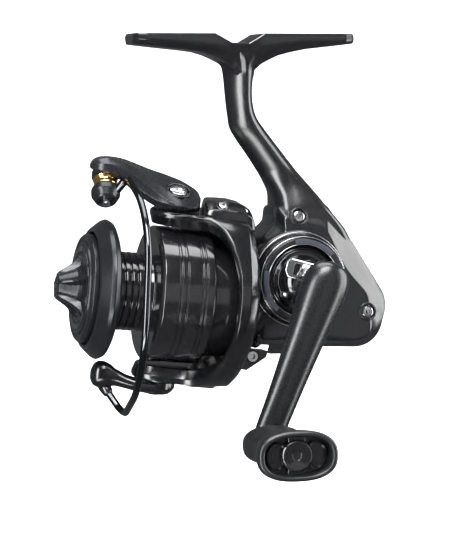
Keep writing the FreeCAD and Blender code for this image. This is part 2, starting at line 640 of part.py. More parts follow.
def make_pinion():
    """Helical pinion on a hollow journal that carries the rotor."""
    teeth = int(size("pinion_teeth"))
    tip = size("pinion_tip")
    sections = []
    for step in range(5):
        corners = []
        for i in range(teeth):
            for offset, radius in ((-0.32, 0.78 * tip), (-0.14, tip), (0.14, tip), (0.32, 0.78 * tip)):
                angle = 2 * math.pi * (i + offset) / teeth + 0.35 * step
                corners.append(Vector(-10 + 1.6 * step, radius * math.cos(angle), radius * math.sin(angle)))
        sections.append(Part.makePolygon(corners + corners[:1]))
    toothed = Part.makeLoft(sections, True, True)
    journal = turned_shape([(-4.0, 0), (13.6, 0), (13.6, 2.7), (10.0, 2.7), (10.0, 3.0), (-4.0, 3.0)])
    bore = Part.makeCylinder(size("shaft_radius") + 0.08, 30, Vector(-12, 0, 0), Vector(1, 0, 0))
    shape_part("pinion", toothed.fuse(journal).cut(bore), ROTOR)
    wheel = new_body("ratchet_wheel", ROTOR)
    turn(wheel, tube_outline(2.95, 4.05, 3.02, 4.3))
    tooth = [(4.1, -0.9), (5.1, 0.65), (4.1, 0.75)]
    repeat_round(wheel, prism(wheel, "YZ", 2.95, 4.05, [tooth]), 12)


def make_rotor():
    """Cup with an inner drum and two arms, above and below the spool."""
    rotor = new_body("rotor", ROTOR)
    turn(rotor, [
        (0, 16.6), (0, 18.4), (1.4, 20.2), (3.2, "rotor_radius"), ("rotor_base", "rotor_radius"),
        ("rotor_base", "drum_radius"), ("drum_front", "drum_radius"), ("drum_front", "drum_radius-1.2"),
        (7.6, "drum_radius-1.2"), (7.6, 6.6), (10.0, 6.6), (10.0, 3.03), (4.6, 3.03), (4.6, 16.6),
    ])
    plan = [(1.2, -8.6), ("pivot", "-1*pivot_boss"), ("pivot", "pivot_boss"), (1.2, 8.6)]
    tip = [("pivot", 0, "pivot_boss")]
    for low, high in (("arm_inner", "arm_outer"), ("-1*arm_outer", "-1*arm_inner")):
        prism(rotor, "XY", low, high, [plan])
        prism(rotor, "XY", low, high, circles=tip)
    prism(rotor, "XY", "arm_inner", "arm_outer", circles=[("pivot", 0, 1.52)], cut=True)
    prism(rotor, "XY", "-1*arm_outer", "-1*arm_inner", circles=[("pivot", 0, 1.22)], cut=True)
    prism(rotor, "XY", "arm_outer-0.6", "arm_outer", circles=[(8.4, -4.2, 0.82)], cut=True)
    prism(rotor, "XY", "-1*arm_outer", "2.6-1*arm_outer", circles=[(8.4, 0, 0.82)], cut=True)
    nut = new_body("rotor_nut", ROTOR)
    hexagon = [(4.6 * math.cos(a * math.pi / 3), 4.6 * math.sin(a * math.pi / 3)) for a in range(6)]
    prism(nut, "YZ", 10.05, 12.6, [hexagon], [(0, 0, 2.73)])
    keeper = new_body("nut_retainer", ROTOR)
    prism(keeper, "YZ", 12.6, 13.2, circles=[(0, 0, 6.2), (0, 0, 2.73)])
    weight = new_body("balance_weight", ROTOR)
    prism(weight, "YZ", 1.2, 4.6, [[(-5.0, -15.2), (5.0, -15.2), (4.2, -11.6), (-4.2, -11.6)]])


def make_arm_covers():
    upper = new_body("arm_cover_upper", ROTOR)
    profile = [(0.4, "arm_outer"), (13.9, "arm_outer"), (13.9, "cover_outer"), (3.6, "cover_outer-0.4"),
               (1.4, "cover_outer-1.4"), (0.4, "cover_outer-3.0")]
    prism(upper, "XZ", -7.4, 7.4, [profile])
    prism(upper, "XZ", -1.6, 1.6, [box_outline(0.3, 12.6, "arm_outer", "arm_outer+1.8")], cut=True)
    prism(upper, "XZ", 3.2, 6.4, [box_outline(1.6, 12.6, "arm_outer", "arm_outer+2.6")], cut=True)
    prism(upper, "XY", "arm_outer", "cover_outer", circles=[(8.4, -4.2, 0.85)], cut=True)
    prism(upper, "XY", "cover_outer-0.9", "cover_outer", circles=[(8.4, -4.2, 1.75)], cut=True)
    prism(upper, "XY", "arm_outer", "cover_outer", [[(13.95, 2.3), (12.2, -7.5), (13.95, -7.5)]], cut=True)
    lower = new_body("arm_cover_lower", ROTOR)
    prism(lower, "XY", "-1*arm_outer-0.9", "-1*arm_outer",
          [[(2.0, -7.6), (13.9, -6.6), (13.9, 6.6), (2.0, 7.6)]], [(8.4, 0, 0.85)])
    up = ROTOR.multiply(along(Vector(0, 0, 1), Vector(8.4, -4.2, size("cover_outer") - 0.9)))
    down = ROTOR.multiply(along(Vector(0, 0, -1), Vector(8.4, 0, -size("arm_outer") - 0.9)))
    group_of_screws("arm_cover_screws", screw_outline(0, 1.6, 1.0, 0.75, 3.2), [up, down])
    lever = new_body("bail_trip_lever", ROTOR)
    prism(lever, "XZ", -1.2, 1.2, [box_outline(1.4, 12.0, "arm_outer+0.1", "arm_outer+1.6")])


def make_bail_spring():
    """Compression coil beside the trip lever."""
    coil = Part.makeHelix(1.5, 9.0, 1.05)
    profile = Part.Wire(Part.Circle(Vector(1.05, 0, 0), Vector(0, 1, 0), 0.2).toShape())
    spring = Part.Wire(coil).makePipeShell([profile], True, True)
    seat = Placement(Vector(2.4, 4.8, size("arm_outer") + 1.3), Rotation(Vector(0, 1, 0), 90))
    shape_part("bail_spring", spring, ROTOR.multiply(seat))


# ---------------------------------------------------------------- bail

def make_bail_arm():
    """Arm from the upper pivot to the line roller: side view and plan, taken together."""
    side = new_body("bail_arm_side", ROTOR, keep=False)
    prism(side, "XZ", -8, 8, [[
        (14.0, "bail_seat"), (27.5, "bail_seat"), (28.6, 25.2), (32.8, 28.2), (42.0, 28.8), (44.0, 30.4),
        (43.2, 33.0), (39.6, 34.4), (28.5, 32.0), (14.0, 26.6),
    ]])
    plan = new_body("bail_arm_plan", ROTOR, keep=False)
    beam = [("pivot-1", -6.5), (32.0, -6.8), (39.6, -7.0, 4.3), (41.0, 1.4), (32.0, 2.4), ("pivot+4", 5.2),
            ("pivot-1", 6.5)]
    prism(plan, "XY", 20, 36, [beam])
    prism(plan, "XY", 20, 36, circles=[("pivot", 0, "pivot_boss")])
    prism(plan, "XY", 20, 36, circles=[("pivot", 0, "1.6")], cut=True)
    prism(plan, "XY", "bail_root_top-0.6", 36, circles=[("pivot", 0, 3.3)], cut=True)
    blank = boolean("bail_arm_blank", "Common", side, plan)
    drilled = boolean("bail_arm_drilled", "Cut", blank, rod("roller_pin_hole", 1.12, -2.4, 1.0, ROLLER))
    keep(boolean("bail_arm", "Cut", drilled, rod("roller_space", 3.6, 0.6, 14, ROLLER)), "bail_arm")
    seat = ROTOR.multiply(along(Vector(0, 0, 1), Vector(size("pivot"), 0, size("bail_root_top") - 0.55)))
    group_of_screws("bail_arm_screw", screw_outline(0, 2.9, 1.5, 1.5, 7.6), [seat])


def make_roller():
    lathe("roller_pin", [(-2.2, 0), (9.6, 0), (9.6, 1.1), (-2.2, 1.1)], ROLLER)
    lathe("line_roller", [
        (0.9, 1.15), (4.1, 1.15), (4.1, 3.2), (3.5, 2.9), (2.5, 2.55), (1.5, 2.9), (0.9, 3.2),
    ], ROLLER)
    lathe("wire_cone", [
        (4.35, 1.12), (9.7, 1.12), (9.7, 0), (10.1, 0), (10.1, 2.2), (9.6, 2.5), (8.2, 3.5), (6.4, 3.8),
        (4.9, 3.6),
        (4.35, 3.1),
    ], ROLLER)


def rounded_path(points, radii):
    """Straight runs joined by tangent arcs, as one wire."""
    edges = []
    start = points[0]
    for before, corner, after, radius in zip(points, points[1:], points[2:], radii):
        to_before = (before - corner).normalize()
        to_after = (after - corner).normalize()
        half = (math.pi - to_before.getAngle(to_after)) / 2
        reach = radius * math.tan(half)
        first, last = corner + to_before * reach, corner + to_after * reach
        bisector = (to_before + to_after).normalize()
        middle = corner + bisector * (radius / math.cos(half) - radius)
        edges += [Part.LineSegment(start, first).toShape(), Part.Arc(first, middle, last).toShape()]
        start = last
    edges.append(Part.LineSegment(start, points[-1]).toShape())
    return Part.Wire(edges)


WIRE_CORNERS = [(38.0, 5.6, 25.4), (35.6, 9.0, 29.8), (34.2, 30.4, 21.0), (32.6, 32.2, -20.0),
        (29.6, 3.0, -32.4),
                (34.4, -2.2, -25.6)]
WIRE_RADII = [2.4, 22.0, 25.0, 3.0]


def make_bail_wire():
    """Wire from the roller's cone round the crank side of the spool to the lower cam."""
    points = [Vector(*corner) for corner in WIRE_CORNERS]
    path = rounded_path(points, WIRE_RADII)
    profile = Part.Wire(Part.Circle(points[0], points[1] - points[0], size("wire_radius")).toShape())
    shape_part("bail_wire", path.makePipeShell([profile], True, False), SHAFT)


def make_bail_cam():
    """Lower pivot with the holder of the wire's end."""
    cam = new_body("bail_cam", ROTOR)
    prism(cam, "XY", -26.4, "-1*bail_seat", circles=[("pivot", 0, 5.2)])
    prism(cam, "XZ", -2.6, 2.6, [[
        (21.0, "-1*bail_seat"), (30.3, "-1*bail_seat"), (31.8, -19.6), (35.4, -18.4), (37.8, -20.2),
        (38.2, -22.6),
        (37.2, -25.0), (34.6, -25.8), (21.0, -26.3),
    ]])
    prism(cam, "XY", -26.4, "-1*bail_seat", circles=[("pivot", 0, 1.3)], cut=True)
    seat = ROTOR.multiply(along(Vector(0, 0, -1), Vector(size("pivot"), 0, -26.45)))
    group_of_screws("bail_cam_screw", screw_outline(0, 3.6, 0.9, 1.2, 7.6), [seat])


# ---------------------------------------------------------------- spool and drag

def make_spool():
    skirt, wall = "skirt_radius", "skirt_radius-1*skirt_wall"
    lathe("spool", [
        (20.0, "shaft_radius+running"), (32.0, "shaft_radius+running"), (32.0, 8.6), (38.2, 8.6),
        (38.2, 14.9),
        ("lip_back", 14.9), ("lip_back", "arbor_radius"), ("skirt_front", "arbor_radius"),
        ("skirt_front", "skirt_radius-0.9"),
        ("skirt_front-0.9", skirt), (19.6, skirt), (19.3, "skirt_radius-0.35"),
        (18.7, "skirt_radius-0.35"), (18.4, skirt),
        ("skirt_back", skirt), ("skirt_back", wall), ("skirt_front-3", wall), ("skirt_front-3", 6.0),
        (20.0, 6.0),
    ], SHAFT)
    lathe("spool_lip", [
        ("lip_back", 14.95), (38.25, 14.95), (39.4, 15.1), ("lip_front", 15.3), ("lip_front+0.3", 15.9),
        (39.6, "lip_radius-0.5"),
        (38.6, "lip_radius"), (37.4, "lip_radius-0.3"), ("lip_back", "lip_radius-1.6"),
    ], SHAFT)
    washers = []
    for i in range(5):
        outer = 8.4 if i % 2 else 8.1
        low = 32.05 + 0.75 * i
        washers.append(turned_shape([(low, 2.4), (low + 0.65, 2.4), (low + 0.65, outer), (low, outer)]))
    shape_part("drag_washers", Part.makeCompound(washers), SHAFT)
    keeper = new_body("washer_retainer", SHAFT)
    turn(keeper, tube_outline(35.85, 36.4, 7.9, 8.55), degrees=330)
    click = new_body("click_pawl", SHAFT)
    prism(click, "YZ", 17.5, 18.5, [[(5.5, -0.6), (8.6, -1.1), (8.6, 1.1), (5.5, 0.6)]])
    prism(click, "YZ", 18.5, "skirt_front-3", circles=[(7.7, 0, 0.9)])


def make_drag():
    """Front drag knob with its captive nut and spring."""
    knob = new_body("drag_knob", SHAFT)
    turn(knob, [
        (36.2, 0), ("knob_tip", 0), ("knob_tip-0.3", 2.6), (48.6, 4.6), (44.4, 7.2), (44.0, 9.0),
        (44.2, 12.6),
        (43.6, "knob_radius-0.5"), (42.6, "knob_radius"), ("knob_back+0.6", "knob_radius"),
        ("knob_back", "knob_radius-0.5"),
        ("knob_back", 6.4), (36.2, 6.4),
    ])
    prism(knob, "YZ", 36.2, 47.6, [hexagon_outline("nut_radius+0.08")], cut=True)
    nut = new_body("drag_nut", SHAFT)
    prism(nut, "YZ", 42.6, 45.4, [hexagon_outline("nut_radius")], [(0, 0, "shaft_radius+running")])
    cones = []
    for i in range(8):
        low = 36.9 + 0.65 * i
        hub, rim = (0, 0.45) if i % 2 == 0 else (0.45, 0)
        cones.append(turned_shape([(low + hub, 1.8), (low + hub + 0.2, 1.8), (low + rim + 0.2, 3.2),
                (low + rim, 3.2)]))
    shape_part("drag_spring", Part.makeCompound(cones), SHAFT)


def hexagon_outline(flat):
    """Corners of a hexagon given by half of its width across flats, bound through the cell it names."""
    corners = []
    for i in range(6):
        angle = math.pi / 6 + i * math.pi / 3
        reach = value(flat) / math.cos(math.pi / 6)
        corners.append((reach * math.cos(angle), reach * math.sin(angle)))
    return corners


# ---------------------------------------------------------------- write


def write_parts():
    doc.recompute()
    for item in doc.Objects:
        if "Invalid" in item.State or "Error" in item.State:
            raise RuntimeError("%s did not recompute: %s" % (item.Name, item.State))
    os.makedirs("parts", exist_ok=True)
    for item in PARTS:
        if item.Shape.isNull() or not item.Shape.isValid():
            raise RuntimeError("%s has no valid shape" % item.Label)
        item.Shape.exportStep("parts/%s.step" % item.Label)
    print("wrote", len(PARTS), "sub-parts")


make_frame_group()
make_drive_gear()
make_crank_shaft()
make_handle_arm()
make_handle_knob()
make_oscillation()
make_pinion()
make_rotor()
make_arm_covers()
make_bail_spring()
make_bail_arm()
make_roller()
make_bail_wire()
make_bail_cam()
make_spool()
make_drag()
write_parts()
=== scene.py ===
import json
import math

import bmesh
import bpy
from mathutils import Matrix, Vector

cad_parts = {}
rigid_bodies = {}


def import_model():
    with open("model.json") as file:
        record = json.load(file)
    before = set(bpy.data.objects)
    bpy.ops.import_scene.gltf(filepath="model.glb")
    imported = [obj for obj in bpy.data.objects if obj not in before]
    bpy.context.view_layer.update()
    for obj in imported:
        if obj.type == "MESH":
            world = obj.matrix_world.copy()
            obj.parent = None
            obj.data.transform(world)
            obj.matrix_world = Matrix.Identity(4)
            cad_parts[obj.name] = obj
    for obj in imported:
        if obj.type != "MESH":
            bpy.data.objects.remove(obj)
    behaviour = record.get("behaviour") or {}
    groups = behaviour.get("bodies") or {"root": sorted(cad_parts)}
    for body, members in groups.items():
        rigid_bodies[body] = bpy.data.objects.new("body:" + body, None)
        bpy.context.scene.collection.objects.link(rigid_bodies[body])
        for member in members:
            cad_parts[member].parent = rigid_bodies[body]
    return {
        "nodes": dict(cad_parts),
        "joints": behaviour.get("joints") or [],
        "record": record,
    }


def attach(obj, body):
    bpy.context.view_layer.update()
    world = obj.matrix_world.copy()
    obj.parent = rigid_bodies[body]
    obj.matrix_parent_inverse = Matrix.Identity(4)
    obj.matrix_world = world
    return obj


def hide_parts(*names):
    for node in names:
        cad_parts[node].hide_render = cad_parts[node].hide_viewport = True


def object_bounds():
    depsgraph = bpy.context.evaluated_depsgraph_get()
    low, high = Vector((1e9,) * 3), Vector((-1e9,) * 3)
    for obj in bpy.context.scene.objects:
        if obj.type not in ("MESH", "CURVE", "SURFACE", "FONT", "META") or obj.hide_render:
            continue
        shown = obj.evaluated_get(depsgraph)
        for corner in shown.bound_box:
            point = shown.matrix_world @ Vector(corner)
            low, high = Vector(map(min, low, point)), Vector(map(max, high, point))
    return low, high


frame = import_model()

cad_low, cad_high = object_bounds()
MM = 0.001
JOINTS = {joint["name"]: joint for joint in frame["joints"]}
SLOTS = {part["node"]: part["material_slot"] for part in frame["record"]["subparts"]}


# ------------------------------------------------------------------ frames, all in millimetres

def frame_at(origin, x_axis, z_hint):
    x = Vector(x_axis).normalized()
    y = Vector(z_hint).cross(x).normalized()
    matrix = Matrix((x, y, x.cross(y))).transposed().to_4x4()
    matrix.translation = Vector(origin)
    return matrix @ Matrix.Scale(MM, 4)


def joint_frame(name, z_hint):
    joint = JOINTS[name]
    return frame_at(joint["pos_m"], joint["axis"], z_hint)


def local(x, y=0, z=0):
    return Matrix.Translation((x, y, z))


UP = (0, 0, 1)
ACROSS = (0, 1, 0)
crank_place = Vector(JOINTS["crank_spin"]["pos_m"])
knob_place = Vector(JOINTS["knob_spin"]["pos_m"])
knob_place.y = 0
ROW = Matrix.Scale(MM, 4)
SHAFT = joint_frame("rotor_spin", UP)
ROTOR = joint_frame("rotor_spin", -Vector(JOINTS["bail_flip"]["axis"]))
CRANK = joint_frame("crank_spin", UP)
ARM = frame_at(crank_place, ACROSS, crank_place - knob_place)
KNOB = frame_at(knob_place, ACROSS, UP)
ROLLER = joint_frame("roller_spin", UP)
PIVOT = 20.8  # of the bail, along the shaft axis


# ------------------------------------------------------------------ materials

NOISE_LOW, NOISE_HIGH = 0.3, 0.7  # what a noise texture mostly stays between
CLOUD_MM, SCUFF_MM = 9.0, 0.9
CLOUD_SHARE, GRAIN_SHARE = 0.55, 0.45
ROUGHNESS_SPREAD, LEAST_ROUGHNESS = 0.03, 0.03
COAT_ROUGHNESS = 0.08


class Nodes:
    """Small helper around one material's node tree."""

    def __init__(self, name):
        self.material = bpy.data.materials.new(name)
        self.material.use_nodes = True
        self.tree = self.material.node_tree
        self.shader = self.tree.nodes["Principled BSDF"]

    def add(self, kind, **settings):
        node = self.tree.nodes.new(kind)
        for key, setting in settings.items():
            setattr(node, key, setting)
        return node

    def link(self, a, b):
        self.tree.links.new(a, b)

    def noise(self, vector, size_mm, detail=4.0, roughness=0.55):
        node = self.add("ShaderNodeTexNoise")
        node.inputs["Scale"].default_value = 1.0 / (size_mm * MM)
        node.inputs["Detail"].default_value = detail
        node.inputs["Roughness"].default_value = roughness
        self.link(vector, node.inputs["Vector"])
        return node.outputs["Fac"]

    def spread(self, factor, low, high):
        node = self.add("ShaderNodeMapRange")
        node.inputs["From Min"].default_value = NOISE_LOW
        node.inputs["From Max"].default_value = NOISE_HIGH
        node.inputs["To Min"].default_value = low
        node.inputs["To Max"].default_value = high
        self.link(factor, node.inputs["Value"])
        return node.outputs["Result"]


def turned_vector(nodes, coordinates, axis_frame):
    """Coordinates (along, radius) about an axis, so that noise on them makes fine turned rings."""
    inverse = (axis_frame @ Matrix.Scale(1 / MM, 4)).inverted()
    mapping = nodes.add("ShaderNodeMapping")
    mapping.inputs["Location"].default_value = inverse.translation
    mapping.inputs["Rotation"].default_value = inverse.to_euler()
    nodes.link(coordinates, mapping.inputs["Vector"])
    split = nodes.add("ShaderNodeSeparateXYZ")
    nodes.link(mapping.outputs["Vector"], split.inputs["Vector"])
    square = []
    for output in ("Y", "Z"):
        power = nodes.add("ShaderNodeMath", operation="MULTIPLY")
        nodes.link(split.outputs[output], power.inputs[0])
        nodes.link(split.outputs[output], power.inputs[1])
        square.append(power.outputs["Value"])
    total = nodes.add("ShaderNodeMath", operation="ADD")
    nodes.link(square[0], total.inputs[0])
    nodes.link(square[1], total.inputs[1])
    root = nodes.add("ShaderNodeMath", operation="SQRT")
    nodes.link(total.outputs["Value"], root.inputs[0])
    joined = nodes.add("ShaderNodeCombineXYZ")
    nodes.link(split.outputs["X"], joined.inputs["X"])
    nodes.link(root.outputs["Value"], joined.inputs["Y"])
    return joined.outputs["Vector"]


def make_material(name, colour, roughness, metallic=0.0, grain=0.22, bump=0.15, mottle=0.10,
                  coat=0.0, axis_frame=None, depth=0.02):
    """Colour and roughness clouds, fine grain or turned rings in the bump, and an optional clear coat."""
    nodes = Nodes(name)
    shader = nodes.shader
    coordinates = nodes.add("ShaderNodeTexCoord").outputs["Object"]
    fine = turned_vector(nodes, coordinates, axis_frame) if axis_frame else coordinates
    clouds = nodes.noise(coordinates, CLOUD_MM, 3.0)
    grains = nodes.noise(fine, grain, 3.0)
    mixed = nodes.add("ShaderNodeMix", data_type="RGBA")
    dark = [channel * (1 - mottle) for channel in colour]
    light = [min(1.0, channel * (1 + mottle)) for channel in colour]
    mixed.inputs["A"].default_value = (*dark, 1)
    mixed.inputs["B"].default_value = (*light, 1)
    blend = nodes.add("ShaderNodeMath", operation="MULTIPLY_ADD")
    blend.inputs[1].default_value = GRAIN_SHARE
    nodes.link(grains, blend.inputs[0])
    nodes.link(nodes.spread(clouds, 0.0, CLOUD_SHARE), blend.inputs[2])
    nodes.link(blend.outputs["Value"], mixed.inputs["Factor"])
    nodes.link(mixed.outputs["Result"], shader.inputs["Base Color"])
    scuffs = nodes.noise(fine, SCUFF_MM, 4.0, 0.5)
    least = max(LEAST_ROUGHNESS, roughness - ROUGHNESS_SPREAD)
    nodes.link(nodes.spread(scuffs, least, roughness + ROUGHNESS_SPREAD), shader.inputs["Roughness"])
    bumped = nodes.add("ShaderNodeBump")
    bumped.inputs["Strength"].default_value = bump
    bumped.inputs["Distance"].default_value = depth * MM
    nodes.link(grains, bumped.inputs["Height"])
    nodes.link(bumped.outputs["Normal"], shader.inputs["Normal"])
    shader.inputs["Metallic"].default_value = metallic
    shader.inputs["Coat Weight"].default_value = coat
    shader.inputs["Coat Roughness"].default_value = COAT_ROUGHNESS
    return nodes.material


LOOKS = {
    "body_plastic": make_material("body_plastic", (0.0042, 0.0044, 0.0052), 0.24, grain=0.40, bump=0.015,
                                  coat=0.1),
    "rotor_plastic": make_material("rotor_plastic", (0.0034, 0.0036, 0.0042), 0.20, grain=0.40, bump=0.015,
                                   coat=0.15),
    "arm_metal": make_material("arm_metal", (0.013, 0.014, 0.0165), 0.26, 0.4, grain=0.40, bump=0.012),
    "spool_gloss": make_material("spool_gloss", (0.006, 0.006, 0.007), 0.14, 0.2, grain=0.06, bump=0.05,
                                 axis_frame=SHAFT, coat=0.4),
    "spool_satin": make_material("spool_satin", (0.035, 0.037, 0.042), 0.24, 0.8, grain=0.05, bump=0.12,
                                 axis_frame=SHAFT),
    "lip_metal": make_material("lip_metal", (0.014, 0.015, 0.018), 0.26, 0.6, grain=0.05, bump=0.16,
                               axis_frame=SHAFT),
    "knob_rubber": make_material("knob_rubber", (0.0055, 0.0057, 0.0065), 0.34, grain=0.30, bump=0.08,
                                 depth=0.03),
    "ring_blue": make_material("ring_blue", (0.070, 0.080, 0.105), 0.28, 0.7, grain=0.08, bump=0.1,
                               axis_frame=CRANK),
    "handle_grey": make_material("handle_grey", (0.0045, 0.0048, 0.0056), 0.28, 0.1, grain=0.30, bump=0.06),
    "steel": make_material("steel", (0.62, 0.62, 0.63), 0.24, 1.0, grain=0.05, bump=0.15),
    "chrome": make_material("chrome", (0.55, 0.55, 0.56), 0.18, 1.0, grain=0.08, bump=0.06),
    "dark_wire": make_material("dark_wire", (0.060, 0.063, 0.070), 0.12, 1.0, grain=0.06, bump=0.05),
    "brass": make_material("brass", (0.78, 0.50, 0.16), 0.18, 1.0, grain=0.05, bump=0.08,
                           axis_frame=ROLLER),
    "zinc": make_material("zinc", (0.40, 0.40, 0.41), 0.42, 1.0, grain=0.2, bump=0.3),
    "inner_plastic": make_material("inner_plastic", (0.10, 0.10, 0.11), 0.45, grain=0.2, bump=0.25),
    "felt": make_material("felt", (0.42, 0.38, 0.31), 0.85, grain=0.12, bump=0.8, depth=0.05),
}

for node_name, node in frame["nodes"].items():
    node.data.materials.clear()
    node.data.materials.append(LOOKS[SLOTS[node_name]])


# ------------------------------------------------------------------ mesh tools

def arc_points(before, corner, after, radius, steps=5):
    """Fillet of a corner, as points."""
    a = (before - corner).normalized()
    b = (after - corner).normalized()
    half = a.angle(b) / 2
    if half > math.pi / 2 - 0.02 or half < 0.02:
        return [corner]
    reach = min(radius / math.tan(half), 0.48 * (before - corner).length, 0.48 * (after - corner).length)
    radius = reach * math.tan(half)
    centre = corner + (a + b).normalized() * (radius / math.sin(half))
    start, end = corner + a * reach - centre, corner + b * reach - centre
    return [centre + radius * start.slerp(end, i / steps) for i in range(steps + 1)]


def rounded(points, default=0.0, closed=True, steps=5):
    """Outline of (a, b) or (a, b, radius) corners with its corners filleted, as 2-D vectors."""
    corners = [Vector((p[0], p[1], 0)) for p in points]
    radii = [p[2] if len(p) > 2 else default for p in points]
    result = []
    for i, corner in enumerate(corners):
        ends = not closed and i in (0, len(corners) - 1)
        if radii[i] <= 0 or ends:
            result.append(corner)
        else:
            after = corners[(i + 1) % len(corners)]
            result += arc_points(corners[i - 1], corner, after, radii[i], steps)
    return [Vector((p.x, p.y)) for p in result]


def piece(name, bm, place, body, slot_name, bevel=0.0, segments=2, smooth=32, look=None):
    """Object from a bmesh in millimetres, riding on a body."""
    bmesh.ops.remove_doubles(bm, verts=bm.verts, dist=1e-5)
    bmesh.ops.recalc_face_normals(bm, faces=bm.faces)
    mesh = bpy.data.meshes.new(name)
    bm.to_mesh(mesh)
    bm.free()
    mesh.transform(place)
    for polygon in mesh.polygons:
        polygon.use_smooth = True
    mesh.set_sharp_from_angle(angle=math.radians(smooth))
    item = bpy.data.objects.new(name, mesh)
    bpy.context.scene.collection.objects.link(item)
    if bevel:
        modifier = item.modifiers.new("edges", "BEVEL")
        modifier.width = bevel * MM
        modifier.segments = segments
        modifier.limit_method = "ANGLE"
        modifier.angle_limit = math.radians(smooth)
        modifier.harden_normals = True
    mesh.materials.append(look or LOOKS[slot_name])
    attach(item, body)
    return item


def bridge(bm, rings, closed_rings=True, wrap=False):
    """Quads between rings of vertices; a ring of one vertex is a pole."""
    pairs = list(zip(rings, rings[1:] + rings[:1])) if wrap else list(zip(rings, rings[1:]))
    for first, second in pairs:
        count = max(len(first), len(second))
        for i in range(count if closed_rings else count - 1):
            j = (i + 1) % count
            corners = [first[i % len(first)], first[j % len(first)], second[j % len(second)],
                       second[i % len(second)]]
            unique = []
            for corner in corners:
                if corner not in unique:
                    unique.append(corner)
            if len(unique) > 2:
                bm.faces.new(unique)


def revolve(bm, profile, segments=144, wrap=False, shift=None):
    """Surface of revolution about X of (along, radius) points; shift(angle, along, radius) may bend it."""
    rings = []
    for point in profile:
        along, radius = point[0], point[1]
        if radius < 1e-4:
            rings.append([bm.verts.new((along, 0, 0))])
            continue
        ring = []
        for i in range(segments):
            angle = 2 * math.pi * i / segments
            a, r = shift(angle, along, radius) if shift else (along, radius)
            ring.append(bm.verts.new((a, r * math.sin(angle), r * math.cos(angle))))
        rings.append(ring)
    bridge(bm, rings, wrap=wrap)


def lathe(name, profile, place, body, slot_name, fillet=0.0, wrap=True, segments=144, look=None):
    bm = bmesh.new()
    revolve(bm, rounded(profile, fillet, closed=wrap), segments, wrap)
    piece(name, bm, place, body, slot_name, look=look)


def slab(bm, outline, low, high, plane="xz"):
    """Prism of a 2-D outline between two levels along the missing axis."""
    def at(point, level):
        if plane == "xz":
            return (point[0], level, point[1])
        if plane == "xy":
            return (point[0], point[1], level)
        return (level, point[0], point[1])

    lower = [bm.verts.new(at(p, low)) for p in outline]
    upper = [bm.verts.new(at(p, high)) for p in outline]
    bridge(bm, [lower, upper])
    bm.faces.new(lower)
    bm.faces.new(upper)


def super_ring(half_width, half_height, exponent, count=48):
    ring = []
    for i in range(count):
        t = 2 * math.pi * i / count
        c, s = math.cos(t), math.sin(t)
        ring.append((half_width * math.copysign(abs(c) ** (2 / exponent), c),
                     half_height * math.copysign(abs(s) ** (2 / exponent), s)))
    return ring


def loft(bm, rings, cap_start=True, cap_end=True):
    """Skin through rings of 3-D points."""
    made = [[bm.verts.new(p) for p in ring] for ring in rings]
    bridge(bm, made)
    if cap_start:
        bm.faces.new(made[0])
    if cap_end:
        bm.faces.new(made[-1])


def skin(name, rings, place, body, slot_name, **options):
    bm = bmesh.new()
    loft(bm, rings)
    piece(name, bm, place, body, slot_name, **options)


def interpolate(table, key):
    """Value at a key from rows of (key, value, ...), in straight steps between the rows."""
    if key <= table[0][0]:
        return table[0][1:]
    for a, b in zip(table, table[1:]):
        if key <= b[0]:
            t = (key - a[0]) / (b[0] - a[0])
            return tuple(p + (q - p) * t for p, q in zip(a[1:], b[1:]))
    return table[-1][1:]


def smooth_between(table, key):
    """As interpolate, with a curve through the rows instead of straight steps."""
    rows = sorted(table)
    key = min(max(key, rows[0][0]), rows[-1][0])
    i = max(0, min(len(rows) - 2, next((k for k in range(len(rows) - 1) if key <= rows[k + 1][0]), 0)))
    a, b = rows[i], rows[i + 1]
    before, after = rows[max(0, i - 1)], rows[min(len(rows) - 1, i + 2)]
    width = b[0] - a[0]
    t = (key - a[0]) / width
    values = []
    for k in range(1, len(a)):
        start = (b[k] - before[k]) / (b[0] - before[0]) * width
        end = (after[k] - a[k]) / (after[0] - a[0]) * width
        values.append((2 * t ** 3 - 3 * t ** 2 + 1) * a[k] + (t ** 3 - 2 * t ** 2 + t) * start
                      + (3 * t ** 2 - 2 * t ** 3) * b[k] + (t ** 3 - t ** 2) * end)
    return values


def clamp(share):
    return min(1.0, max(0.0, share))


def steps_between(low, high, count):
    return [low + (high - low) * i / count for i in range(count + 1)]


def hex_socket_screw(name, place, radius, height, body, socket=0.5):
    """Round screw head with a lobed socket, on its seat at x = 0."""
    bm = bmesh.new()
    inner = socket * radius
    outer = [(-0.4, 0), (-0.4, radius), (height - 0.25, radius), (height - 0.08, radius - 0.08),
             (height, radius - 0.25),
             (height, inner), (height - 0.5, inner), (height - 0.5, 0)]

    def lobes(angle, along, r):
        if r <= inner + 1e-6:
            return along, r * (1 - 0.13 * abs(math.sin(3 * angle)))
        return along, r

    revolve(bm, outer, 72, shift=lobes)
    piece(name, bm, place, body, "chrome", smooth=28)


def point_frame(base, x, y, z, direction):
    """Frame in a base frame whose x axis lies along a direction of that base."""
    turned = Vector((1, 0, 0)).rotation_difference(Vector(direction)).to_matrix().to_4x4()
    return base @ local(x, y, z) @ turned


# ------------------------------------------------------------------ foot and stem

